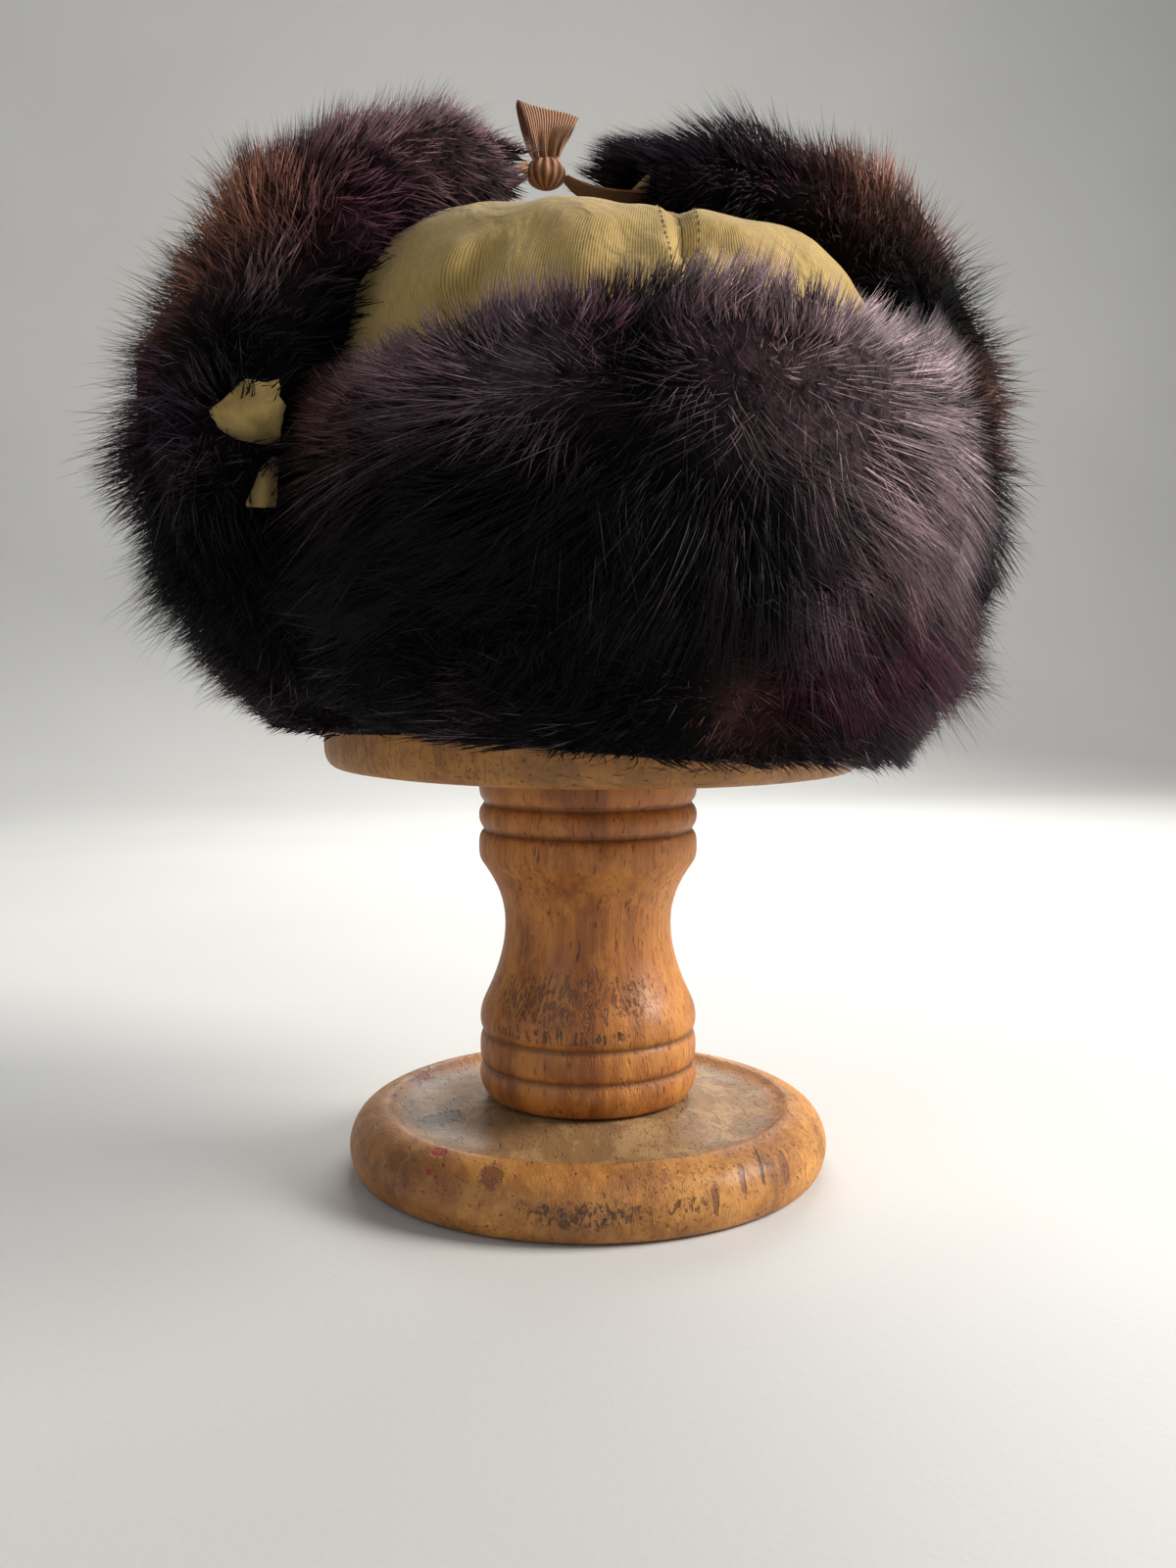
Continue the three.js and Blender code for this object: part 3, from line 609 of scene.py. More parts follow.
def oval(angle, half_width, half_length, height):
    """A point of an oval at an angle from the front, in millimetres."""
    radius = 1 / np.hypot(np.sin(angle) / half_width, np.cos(angle) / half_length)
    return np.stack([radius * np.sin(angle), -radius * np.cos(angle), height + 0 * angle], -1)


def unit(vectors):
    """Vectors made one unit long."""
    return vectors / np.maximum(np.linalg.norm(vectors, axis=-1, keepdims=True), 1e-12)


def frames_on(surface, u, v):
    """Unit vectors across, up and out of a surface."""
    step = 1e-3
    across = unit(surface(u + step, v) - surface(u - step, v))
    up = unit(surface(u, v + step) - surface(u, v - step))
    return across, up, unit(np.cross(across, up))


def lay_grid(surface, columns, rows, crowd=0.0):
    """A bmesh grid laid on a surface, which takes places across and along from 0 to 1. Crowd draws its
    columns towards both sides, where a seam needs them."""
    bm = bmesh.new()
    bmesh.ops.create_grid(bm, x_segments=columns, y_segments=rows, size=0.5)
    places = np.array([vert.co[:2] for vert in bm.verts]) + 0.5
    places[:, 0] -= crowd * np.sin(2 * np.pi * places[:, 0]) / (2 * np.pi)
    uv = bm.loops.layers.uv.new("cloth")
    for face in bm.faces:
        for loop in face.loops:
            loop[uv].uv = places[loop.vert.index]
    for vert, point in zip(bm.verts, surface(places[:, 0], places[:, 1]) * MM):
        vert.co = point
    return bm


# %% [markdown]
# ## Smooth noise
# Clumps of hair, dents in cloth and patches of dye need a value that wanders smoothly through space. A sum of
# a few sine waves in seeded random directions does it for thousands of points at once.

# %% Wandering values


def wander(points, size, seed, waves=9):
    """Values from about -1 to 1 that change over a distance of size, in millimetres."""
    draw = np.random.default_rng(seed)
    ways = unit(draw.normal(size=(waves, 3))) * draw.uniform(0.6, 1.6, (waves, 1)) * 2 * math.pi / size
    phases = draw.uniform(0, 2 * math.pi, waves)
    return np.sin(points @ ways.T + phases).sum(-1) / math.sqrt(waves / 2)


# %% [markdown]
# ## Khaki cotton
# The crown and the facings are a cotton with a fine upright rib. The cloth is matte, mottled and lightly
# creased, with painted shade along its seams and edges. The ribs follow each piece's own map, because they bend
# with the cloth.

# %% Khaki
# How often each pattern repeats in a metre.
WOBBLE_SCALE = 90.0
THREAD_SCALE = 900.0
MOTTLE_SCALE = 34.0
DIRT_SCALE = 15.0
WRINKLE_SCALE = 52.0
KHAKI_DIRT = (0.17, 0.115, 0.04)
SEAM_PAINTED_SHADE = (0.1, 0.062, 0.02)


def khaki(name, ribs, picks):
    """Ribbed cotton. Ribs and picks are how many threads cross the piece's map."""
    look = Look(name, Sheen_Weight=0.18, Sheen_Roughness=0.5, Specular_IOR_Level=0.25)
    place = look.node("ShaderNodeTexCoord", output="UV")
    across = look.axis(place, 0)
    wobble = look.noise(look.place(), WOBBLE_SCALE, 2.0) * 0.004
    weave = look.wave(across + wobble, ribs) * 0.5 + 0.5
    pick = look.wave(look.axis(place, 1), picks)
    threads = look.noise(look.place((1.0, 1.0, 0.25)), THREAD_SCALE, 3.0, 0.7)
    mottle = look.noise(look.place(), MOTTLE_SCALE, 4.0, 0.6)
    colour = look.ramp(
        weave * 0.3 + threads * 0.42 + mottle * 0.28,
        (0.25, (0.25, 0.155, 0.044)),
        (0.5, (0.46, 0.31, 0.098)),
        (0.78, (0.62, 0.44, 0.165)),
    )
    # Painted shade: a dark line along both edges of the piece's map, where the seams lie.
    from_seam = look.math("PINGPONG", across, 0.5)
    colour = look.mix(look.between(from_seam, 0.001, 0.011, 0.6, 0.0), colour, SEAM_PAINTED_SHADE)
    dirt_and_shade = look.between(look.noise(look.place(), DIRT_SCALE, 5.0, 0.6), 0.52, 0.72)
    wrinkles = look.noise(look.place((1.0, 1.0, 0.55)), WRINKLE_SCALE, 3.0, 0.5, 1.4)
    creased = look.bump(wrinkles, 0.6, 0.004)
    look.feed(
        Base_Color=look.mix(dirt_and_shade * 0.35, colour, KHAKI_DIRT),
        Roughness=look.between(threads, 0.3, 0.7, 0.82, 0.95),
        Normal=look.bump(weave * 0.7 + pick * 0.2 + threads * 0.9, 0.5, 0.0002, creased),
    )
    return look


crown_khaki = khaki("crown_khaki", ribs=210, picks=330)
facing_khaki = khaki("facing_khaki", ribs=150, picks=160)
print("cloths:", crown_khaki.material.name, facing_khaki.material.name)

# %% [markdown]
# ## Crown
# Four gores are sewn together along seams that run from the band up to the top. The top has been pushed in
# and has slumped a little to one side. Each gore is a grid laid on the crown's surface, drawn in along its
# seams and dented by soft folds, and then given the cloth's thickness.

# %% Crown surface
CROWN_RINGS = np.array([
    # height, half width, half length, lean
    (133, 85.3, 102.3, 0), (155, 85.6, 102.6, 0), (178, 86.6, 103.6, 0), (201, 87.6, 104.4, 0),
    (223, 88, 104.6, 0), (244, 86.5, 103, 0.02), (262, 82.5, 98.5, 0.06), (276, 74.5, 89.5, 0.14),
    (286, 61, 73, 0.3), (291.5, 44, 52, 0.52), (294, 24, 28, 0.77), (294.5, 0, 0, 1),
])  # fmt: skip
APEX_SHIFT = (6, -46)
ROOF_START = 235
ROOF_FULL = 280
GORE_PUFF = 1.8
HEAD_HALF_WIDTH = 82
ROOF_DENTS = [
    # x, y, rise, reach along x, reach along y
    (8, -60, -14, 24, 20), (-36, -50, -7.6, 30, 34), (44, -44, -14, 26, 30), (0, -96, -10.8, 70, 30),
    (74, -50, -13, 26, 40),
]  # fmt: skip


def smoothstep(value, low, high):
    """0 below low, 1 above high and a smooth rise between them."""
    share = np.clip((value - low) / (high - low), 0, 1)
    return share * share * (3 - 2 * share)


def crown_point(angle, along):
    """The crown's outer side, as in the CAD source."""
    height, wide, long, lean = read_rows(CROWN_RINGS, along)
    point = oval(angle, np.maximum(wide, 1e-6), np.maximum(long, 1e-6), height)
    arch = np.sin(np.pi * np.minimum(along * 1.1, 1))
    puff = 1 + GORE_PUFF * np.sin(2 * angle) ** 2 * arch / HEAD_HALF_WIDTH
    x = point[..., 0] * puff + APEX_SHIFT[0] * lean
    y = point[..., 1] * puff + APEX_SHIFT[1] * lean
    z = point[..., 2]
    roof = smoothstep(z, ROOF_START, ROOF_FULL)
    for at_x, at_y, rise, reach_x, reach_y in ROOF_DENTS:
        z = z + roof * rise * np.exp(-(((x - at_x) / reach_x) ** 2) - ((y - at_y) / reach_y) ** 2)
    return np.stack([x, y, z], -1)


# %% [markdown]
# The real cloth has a few sharp creases at the left, a notch where the front seam meets the top, and soft
# upright waves. Each is a line through picture points, followed to the crown, and the cloth is pushed in or
# out beside it. Cloth simulation would crease it too, but not in these places.

# %% Folds in the crown
smooth_crown = lay_grid(lambda u, v: crown_point(u * 2 * np.pi, v), 96, 60)
bmesh.ops.recalc_face_normals(smooth_crown, faces=smooth_crown.faces)
crown_tree = BVHTree.FromBMesh(smooth_crown)
smooth_crown.free()
FOLDS = [
    # picture points along the fold, depth in mm, half width in mm
    ([(494, 258), (478, 286), (459, 317)], 4.6, 3.4),
    ([(468, 258), (450, 290)], -2.6, 5.0), ([(512, 262), (500, 300)], -1.6, 5.0),
    ([(430, 300), (446, 322)], 2.2, 3.2),
    ([(706, 246), (722, 243), (742, 250)], 3.6, 4.6), ([(680, 250), (688, 275)], -1.6, 4.0),
    ([(548, 232), (560, 262), (566, 300)], 1.2, 5.0),
    ([(640, 236), (628, 262), (622, 300)], 1.5, 5.0),
]
fold_lines = [(spots_on(crown_tree, places), depth, reach) for places, depth, reach in FOLDS]


def beside(points, line):
    """How far points lie from a line through places."""
    nearest = np.full(len(points), 1e9)
    for start, end in zip(line, line[1:]):
        way = end - start
        share = np.clip(((points - start) @ way) / (way @ way), 0, 1)
        nearest = np.minimum(nearest, np.linalg.norm(points - start - share[:, None] * way, axis=1))
    return nearest


print("folds on the crown:", [len(line) for line, _, _ in fold_lines])

# %% [markdown]
# The seams are narrow grooves with small puckers on both sides, where the thread has drawn the cloth in. They
# are shaped in the mesh rather than by a bump, so they also show at the crown's outline. The grid's columns
# crowd towards the seams to have enough faces there.

# %% Gores
SEAM_DEPTH = 1.7
SEAM_REACH = 1.5
SEAM_CROWD = 0.65
PUCKER_DEPTH = 0.28
PUCKER_REACH = 6
SAG_DEPTH = 0.55
SAG_SIZE = 46
RIPPLE_DEPTH = 0.2
RIPPLE_SIZE = 17
GORE_WALL = 2.4
GORE_COLUMNS = 68
GORE_ROWS = 64
GORES = ["front_right", "back_right", "back_left", "front_left"]
BAND_EDGE = np.array([
    # degrees from the front, how far up the crown the band's edge lies
    (-90, 0.05), (-54, 0.05), (-35, 0.045), (5, 0.03), (54, 0.014), (90, 0.0), (180, 0.0),
])  # fmt: skip


def girth_at(point):
    """How far points of the crown lie from its apex, seen from above."""
    return np.hypot(point[..., 0] - APEX_SHIFT[0], point[..., 1] - APEX_SHIFT[1])


def sewn_crown(angle, along):
    """The crown with its seams drawn in, folds and small waves. The band's edge rises at the front left."""
    degrees = np.degrees(np.arctan2(np.sin(angle), np.cos(angle)))
    start = np.interp(degrees, *BAND_EDGE.T)
    along = start + (1 - start) * along
    point = crown_point(angle, along)
    step = 1e-3
    across = crown_point(angle + step, along) - crown_point(angle - step, along)
    up = crown_point(angle, along + step) - crown_point(angle, along - step)
    out = unit(np.cross(across, up))
    quarter = np.abs(angle / (np.pi / 2) - np.round(angle / (np.pi / 2))) * np.pi / 2
    girth = girth_at(point)
    from_seam = quarter * girth
    drop = SEAM_DEPTH * np.exp(-((from_seam / SEAM_REACH) ** 2)) * np.clip(girth / 12, 0, 1)
    pucker = np.sin(point[..., 1] * 0.9 + point[..., 2] * 0.7 + 3 * wander(point, 30, 5))
    near = np.exp(-((from_seam / PUCKER_REACH) ** 2))
    drop = drop + PUCKER_DEPTH * pucker * near * np.clip(girth / 20, 0, 1)
    sag = SAG_DEPTH * wander(point, SAG_SIZE, 3) * smoothstep(point[..., 2], 150, 240)
    drop = drop + sag + RIPPLE_DEPTH * wander(point, RIPPLE_SIZE, 4)
    for line, depth, reach in fold_lines:
        drop = drop + depth * np.exp(-((beside(point, line) / reach) ** 2))
    return point - out * drop[..., None]


def area_of(bm):
    """A grid's area in square metres."""
    return sum(face.calc_area() for face in bm.faces)


for quarter, name in enumerate(GORES):

    def gore_surface(u, v):
        return sewn_crown((quarter + u) * np.pi / 2, v * 0.9999)

    bm = lay_grid(gore_surface, GORE_COLUMNS, GORE_ROWS, SEAM_CROWD)
    bmesh.ops.remove_doubles(bm, verts=bm.verts, dist=POLE)
    print(name, "area in square metres:", round(area_of(bm), 4))
    gore = keep(bm, f"gore_{name}", crown_khaki, [f"crown_gore_{name}"])
    modifier(gore, "SOLIDIFY", thickness=GORE_WALL * MM, offset=-1.0)

# %% [markdown]
# A row of stitches runs on each side of the seams. Each stitch is one short, bent sliver of thread that dips
# into the cloth at both ends, joined into one piece of about seven thousand faces. Thousands of bent
# threads and hairs are made at once from arrays of numbers, because an operator for each would take too long.

# %% Topstitching
thread = Look("thread", Roughness=0.7, Sheen_Weight=0.1)
twist = thread.noise(thread.place(), 1500.0)
thread.feed(Base_Color=thread.ramp(twist, (0.3, (0.2, 0.14, 0.05)), (0.7, (0.36, 0.27, 0.11))))
STITCH_PITCH = 2.6
STITCH_LENGTH = 2.0
STITCH_ASIDE = 2.6
STITCH_WIDTH = 0.55
STITCH_RISE = 0.55
STITCH_DIP = 0.15
STITCH_RINGS = 3
SEAM_SAMPLES = 400


def give_dye_and_painted_light(mesh, tint):
    """Stores a colour for each vertex, the dye with its painted shadow and highlight, which the fur's material
    reads.
    """
    tint = np.concatenate([tint, np.ones(tint.shape[:-1] + (1,))], -1)
    dye = mesh.color_attributes.new("dye", "FLOAT_COLOR", "POINT")
    dye.data.foreach_set("color", tint.astype(np.float32).ravel())


def strand_mesh(name, roots, middles, tips, widths, rings, colours=None):
    """One mesh of thin three-sided hairs or threads: bent from root to tip, pointed at the tip.
    Places are in millimetres, and colours are one row for the root and one for the tip of each hair."""
    count = len(roots)
    shares = np.linspace(0, 1, rings + 1)[:-1]
    chord = unit(tips - roots)
    spin = np.random.default_rng(count).normal(size=(count, 3))
    side = unit(np.cross(chord, spin))
    below = np.cross(chord, side)
    turns = np.arange(3) * 2 * math.pi / 3
    corners = side[:, None] * np.cos(turns)[:, None] + below[:, None] * np.sin(turns)[:, None]
    points = np.zeros((count, rings * 3 + 1, 3))
    for ring, share in enumerate(shares):
        bent = roots * (1 - share) ** 2 + middles * 2 * share * (1 - share) + tips * share**2
        thick = widths * 0.5 * (1 - share**2.2) * (0.55 + 0.45 * min(1, share * 4))
        points[:, ring * 3 : ring * 3 + 3] = bent[:, None] + corners * thick[:, None, None]
    points[:, -1] = tips
    pattern = [(0, 1, 2)]
    for ring in range(rings - 1):
        for k in range(3):
            here, there = ring * 3 + k, ring * 3 + (k + 1) % 3
            pattern += [(here, here + 3, there), (there, here + 3, there + 3)]
    last = (rings - 1) * 3
    pattern += [(last + k, rings * 3, last + (k + 1) % 3) for k in range(3)]
    faces = (np.array(pattern)[None] + (np.arange(count) * (rings * 3 + 1))[:, None, None]).reshape(-1, 3)
    mesh = bpy.data.meshes.new(name)
    mesh.vertices.add(points.shape[0] * points.shape[1])
    mesh.vertices.foreach_set("co", (points * MM).astype(np.float32).ravel())
    mesh.loops.add(faces.size)
    mesh.loops.foreach_set("vertex_index", faces.astype(np.int32).ravel())
    mesh.polygons.add(len(faces))
    mesh.polygons.foreach_set("loop_start", np.arange(0, faces.size, 3, dtype=np.int32))
    if colours is not None:
        root_colour, tip_colour = colours
        along = np.append(np.repeat(shares, 3), 1.0)[None, :, None]
        give_dye_and_painted_light(mesh, root_colour[:, None] * (1 - along) + tip_colour[:, None] * along)
    mesh.update(calc_edges=True)
    mesh.shade_smooth()
    return mesh


stitch_ends = []
for quarter in range(4):
    for aside in (-STITCH_ASIDE, STITCH_ASIDE):
        along = np.linspace(0.36, 0.985, SEAM_SAMPLES)
        spine = crown_point(np.full(SEAM_SAMPLES, quarter * np.pi / 2), along)
        girth = np.maximum(girth_at(spine), 6.0)
        line = sewn_crown(quarter * np.pi / 2 + aside / girth, along)
        run = np.append(0, np.cumsum(np.linalg.norm(np.diff(line, axis=0), axis=1)))
        for start in np.arange(0, run[-1] - STITCH_PITCH, STITCH_PITCH):
            ends = [start, start + STITCH_LENGTH / 2, start + STITCH_LENGTH]
            stitch_ends.append([[np.interp(end, run, line[:, k]) for k in range(3)] for end in ends])
stitch_ends = np.array(stitch_ends)
crown_middle = np.array([APEX_SHIFT[0], APEX_SHIFT[1] * 0.4, 215.0])
lift = unit(stitch_ends[:, 1] - crown_middle)
moves = (-STITCH_DIP, STITCH_RISE, -STITCH_DIP)
threads = [stitch_ends[:, k] + lift * move for k, move in enumerate(moves)]
stitch_widths = np.full(len(stitch_ends), STITCH_WIDTH)
keep_mesh(strand_mesh("topstitching", *threads, stitch_widths, STITCH_RINGS), thread)

# %% [markdown]
# ## Flaps
# The front and neck flaps are turned up along the band. The ear flaps stand up and lean over the crown to
# the knot. The tables are those of the CAD source, so the looks keep its sizes. The last two columns are
# the coat's depth and how far the hair's ends lie above their roots. The coat reaches past the flap by its
# overhang at the sides and its crest at the top.

# %% Flap tables
FLAPS = {
    "front_flap": {
        "band": (-53.5, 53.5),
        "rows": np.array([
            (0, 86, 103, 11, -5), (0.25, 88.5, 105.6, 24, -2), (0.5, 91, 108, 28, 4),
            (0.75, 93, 109.5, 27, 13), (1, 94, 110, 20, 22),
        ]),
        "edges": np.array([
            (-54, 145, 203), (-35, 141.5, 215), (-15, 138.5, 227), (5, 135.5, 230), (30, 134.5, 227),
            (54, 134, 226),
        ]),
        "overhang": 0.04, "crest": 0.12, "crest_ends": (0.23, 0.08), "rim": 0.32,
    },
    "neck_flap": {
        "band": (136.6, 223.4),
        "rows": np.array([
            (0, 86, 103, 11, -5), (0.25, 88.5, 105.6, 20, -2), (0.5, 91, 107.6, 23, 4),
            (0.75, 93, 109, 22, 12), (1, 94, 109.5, 17, 20),
        ]),
        "edges": np.array([(133, 134, 212), (180, 134, 218), (227, 134, 212)]),
        "overhang": 0.03, "crest": 0.06, "rim": 0.2,
    },
    "ear_flap_left": {
        "side": -1,
        "rows": np.array([
            (87.4, 141.5, -49, 61, 104, 0, 9, -4), (91, 160, -49.5, 61, 107, 3, 24, 0),
            (96, 185, -50, 60, 115, 9, 34, 5), (100.5, 210, -48, 57, 130, 15, 38, 9),
            (102, 234, -44, 52, 140, 9, 38, 12), (97, 258, -39, 46, 140, 2, 36, 12),
            (85, 280, -34, 40, 140, 0, 33, 10), (66, 295, -29, 33, 140, 0, 28, 8),
            (46, 300.5, -24, 26, 140, 0, 23, 6), (29, 301.5, -19, 18, 140, 0, 19, 3),
        ]),
        "overhang": 0.2, "crest": 0.0, "rim": 0.3,
        "full": [(0, 1.05), (0.2, 1.1), (0.38, 1.1), (0.5, 1), (0.72, 0.84), (1, 0.84)],
    },
    "ear_flap_right": {
        "side": 1,
        "rows": np.array([
            (86.4, 136, -49, 61, 104, 0, 14, -6), (90, 160, -49.5, 61, 107, 1, 27, -2),
            (94, 185, -50, 60, 115, 3, 31, 4), (97, 210, -47, 57, 130, 4, 29, 8),
            (97.5, 234, -43, 52, 140, 2, 27, 10), (93.5, 257, -38, 46, 140, 0, 27, 10),
            (84, 277, -34, 40, 140, 0, 28, 8), (67, 292, -30, 33, 140, 0, 27, 7),
            (41, 299.5, -26, 26, 140, 0, 24, 5), (13, 301.5, -20, 18, 140, 0, 18, 3),
        ]),
        "overhang": 0.16, "crest": 0.0, "rim": 0.3,
        "full": [(0, 1.05), (0.25, 1.12), (0.5, 1.28), (0.7, 1.2), (0.85, 1.05), (1, 1.05)],
    },
}  # fmt: skip
STANDING = ("front_flap", "neck_flap")
FLARE_REACH = 0.4
EDGE_CURL = 620
OVER_CROWN_RADIUS = 220


def band_surface(flap, u, v):
    """A flap turned up along the band: the side of its facing that looks at the crown."""
    degrees = lerp(*flap["band"], u)
    _, lower, upper = read_rows_by_first(flap["edges"], degrees)
    rise, wide, long, _, _ = read_rows(flap["rows"], v)
    height = lerp(lower, upper, rise + np.maximum(0, v - 1))
    return oval(np.radians(degrees), wide, long, height)


def ear_surface(flap, u, v):
    """A flap turned up over the crown's side."""
    out, height, front, back, bow, flare, _, _ = read_rows(flap["rows"], v)
    from_front = u if flap["side"] > 0 else 1 - u
    y = lerp(front, back, from_front)
    turn = np.clip(1 - from_front / FLARE_REACH, 0, 1) ** 2
    past = from_front - np.clip(from_front, 0, 1)
    out = out * np.sqrt(1 - (y / bow) ** 2) + flare * turn - EDGE_CURL * past**2
    return np.stack([flap["side"] * out, y, height - v * y * y / (2 * OVER_CROWN_RADIUS)], -1)


def flap_surface(flap):
    """A flap's surface as a function of places across and along it."""
    make = band_surface if "band" in flap else ear_surface
    return lambda u, v: make(flap, u, v)


# %% [markdown]
# Each flap is lined with the crown's khaki. The lining is a sheet nearly 2 mm thick on the side that looks
# at the crown, and it shows where the fur parts. A grid with a Solidify modifier is enough, because the
# lining lies flat on the hide.

# %% Facings
FACING_WALL = 1.8
FACING_LIFT = 0.3
FACING_WAVE = 0.25
for name, flap in FLAPS.items():
    surface = flap_surface(flap)

    def lining(u, v):
        waves = FACING_WAVE * wander(surface(u, v), 30, 8)
        return surface(u, v) + frames_on(surface, u, v)[2] * (FACING_LIFT + waves)[..., None]

    bm = lay_grid(lining, 32, 32)
    print(name, "lining in square metres:", round(area_of(bm), 4))
    facing = keep(bm, f"{name}_lining", facing_khaki, [f"{name}_cloth"])
    modifier(facing, "SOLIDIFY", thickness=FACING_WALL * MM, offset=1.0)

# %% [markdown]
# ## Fur
# The hide carries a thick, short undercoat and longer guard hairs, dyed black with a wine-red and violet
# sheen. A soft closed body stands for the undercoat's mass. Over it grow tens of thousands of
# bent three-sided hairs, joined into a few meshes per flap. A hair's end is drawn towards its clump's middle,
# so the coat falls into locks. Blender's own hair would look the same, but it does not export as a mesh.

# %% Fur material
SHEEN = (0.75, 0.6, 0.75, 1.0)


def shaded_dye_and_painted_light(look, value, dark, light):
    """The stored dye with its painted shadow and highlight, made lighter or darker by a value."""
    dye = look.node("ShaderNodeAttribute", {"attribute_name": "dye"})
    return look.mix(1.0, dye, look.ramp(value, dark, light), "MULTIPLY")


def hair_look(name, rough, sheen):
    """Hair: soft gloss, a violet-pink sheen, and fine streaks of light and dark."""
    look = Look(name, Specular_IOR_Level=0.2, Sheen_Weight=sheen, Sheen_Roughness=0.35, Sheen_Tint=SHEEN)
    streak = look.noise(look.place(), 700.0, 2.0)
    look.feed(
        Base_Color=shaded_dye_and_painted_light(look, streak, (0.3, (0.62, 0.6, 0.64)), (0.7, (1.25, 1.2, 1.22))),
        Roughness=look.between(streak, 0.3, 0.7, rough - 0.08, rough + 0.1),
    )
    return look


# Painted shade: the undercoat takes the stored colour darkened to between 0.06 and 0.4 of it, for the shade
# deep in the coat under the hairs.
under_look = Look("undercoat", Roughness=0.95, Specular_IOR_Level=0.1)
tuft = under_look.noise(under_look.place(), 260.0, 4.0, 0.7)
under_look.feed(
    Base_Color=shaded_dye_and_painted_light(under_look, tuft, (0.35, (0.06, 0.06, 0.06)), (0.7, (0.4, 0.36, 0.4))),
    Normal=under_look.bump(tuft, 1.0, 0.002),
)
fur_look = hair_look("fur", rough=0.6, sheen=0.01)
guard_look = hair_look("guard_hair", rough=0.42, sheen=0.02)
print("fur looks:", under_look.material.name, fur_look.material.name, guard_look.material.name)

# %% [markdown]
# The dye is uneven. Named patches give its colour where the camera sees them on the coat: violet on top, a
# fox-brown edge at the left, and grey-violet streaks in the front flap's right half, where the lilac ones are
# painted highlight on lit hair. The front flap's left half is black, which is painted shadow, given by areas
# further on. Each patch lies at the point where a ray through its picture point meets the coat.

# %% Dye patches
# Painted shadow: the black of the areas where the coat lies in shade.
PAINTED_SHADOW_BLACK = (0.001, 0.0009, 0.0013)
GROUND = (0.0105, 0.0055, 0.0088)
WINE = (0.05, 0.0105, 0.023)
VIOLET = (0.1, 0.058, 0.069)
# Painted highlight: lilac stands for lit hair that shines grey-lilac.
LILAC_HIGHLIGHT = (0.26, 0.2, 0.215)
MAUVE = (0.17, 0.11, 0.119)
BROWN = (0.16, 0.07, 0.042)
FOX = (0.28, 0.12, 0.07)
PINK = (0.34, 0.16, 0.14)
NAVY = (0.008, 0.009, 0.024)
PALE = (0.32, 0.27, 0.31)
PATCHES = {
    "ear_flap_left": [
        # picture point, reach in mm, colour, strength
        (400, 160, 26, VIOLET, 0.8), (470, 135, 22, VIOLET, 0.9), (340, 170, 20, VIOLET, 0.6),
        (400, 215, 24, WINE, 1.0), (340, 230, 22, WINE, 0.8), (470, 200, 20, WINE, 0.9),
        (420, 165, 10, BROWN, 0.5), (215, 260, 20, FOX, 0.9), (190, 300, 18, BROWN, 0.9),
        (250, 225, 14, FOX, 0.7), (230, 310, 12, WINE, 0.8), (260, 315, 13, MAUVE, 0.7),
        (160, 350, 16, BROWN, 0.5), (150, 400, 16, WINE, 0.8), (170, 395, 12, MAUVE, 0.6),
        (170, 450, 20, NAVY, 0.8), (180, 500, 18, MAUVE, 0.35), (300, 420, 16, BROWN, 0.8),
    ],
    "front_flap": [
        # The lilac patches here are painted highlight, where the hair catches the light.
        (400, 390, 14, MAUVE, 0.9), (440, 375, 16, MAUVE, 0.8), (360, 410, 14, VIOLET, 0.8),
        (330, 440, 14, BROWN, 0.5), (500, 350, 16, MAUVE, 0.9), (560, 330, 16, MAUVE, 0.9),
        (540, 365, 10, LILAC_HIGHLIGHT, 0.8), (610, 320, 12, VIOLET, 0.8), (640, 345, 10, WINE, 0.8),
        (420, 440, 12, VIOLET, 0.4), (800, 330, 24, MAUVE, 0.9), (880, 330, 24, MAUVE, 1.0),
        (760, 360, 18, VIOLET, 0.9), (840, 400, 24, MAUVE, 0.9), (920, 420, 26, LILAC_HIGHLIGHT, 0.8),
        (960, 480, 26, LILAC_HIGHLIGHT, 0.85), (900, 500, 18, MAUVE, 0.9), (1000, 560, 18, LILAC_HIGHLIGHT, 0.75),
        (970, 620, 16, WINE, 1.0), (900, 640, 20, WINE, 1.0), (840, 560, 12, VIOLET, 0.35),
        (760, 715, 9, PINK, 0.9), (790, 720, 9, BROWN, 0.7), (820, 700, 12, WINE, 0.9),
        (700, 400, 12, VIOLET, 0.5), (720, 440, 10, MAUVE, 0.5), (990, 690, 12, BROWN, 0.6),
        (1020, 640, 12, BROWN, 0.4),
    ],
    "ear_flap_right": [
        (650, 165, 18, VIOLET, 0.7), (720, 140, 20, MAUVE, 0.6), (790, 150, 20, MAUVE, 0.7),
        (700, 190, 14, NAVY, 1.0), (760, 210, 14, NAVY, 1.0), (860, 180, 18, WINE, 0.9),
        (915, 212, 15, FOX, 1.0), (890, 190, 14, BROWN, 0.7), (950, 245, 13, BROWN, 0.9),
        (900, 280, 18, NAVY, 1.0), (1000, 330, 16, WINE, 0.7), (1010, 400, 16, BROWN, 0.5),
        (1040, 480, 18, WINE, 1.0), (1040, 560, 18, WINE, 0.8), (1030, 640, 18, WINE, 0.7),
    ],
    "neck_flap": [],
}  # fmt: skip

# %% [markdown]
# The patches have soft, round borders. Other areas follow what the camera sees of the coat more closely, so
# they are ovals in the picture plane: the ones of painted shadow, where the hair is black, and the ones where
# pale hairs show.
# A painted texture could do it too, but hair has no surface to paint on, so each hair takes one colour.

# %% Dye on the coat
PATCH_GAIN = 1.25
MOTTLED = 0.5
MOTTLE_SIZE = 60
patch_places = {}


def place_patches(name, tree):
    """Finds where a flap's patches lie on its undercoat: dye, and lilac painted highlight."""
    found = [(spots_on(tree, [(across, down)]), *rest) for across, down, *rest in PATCHES[name]]
    patch_places[name] = [(spot[0], *rest) for spot, *rest in found if len(spot)]


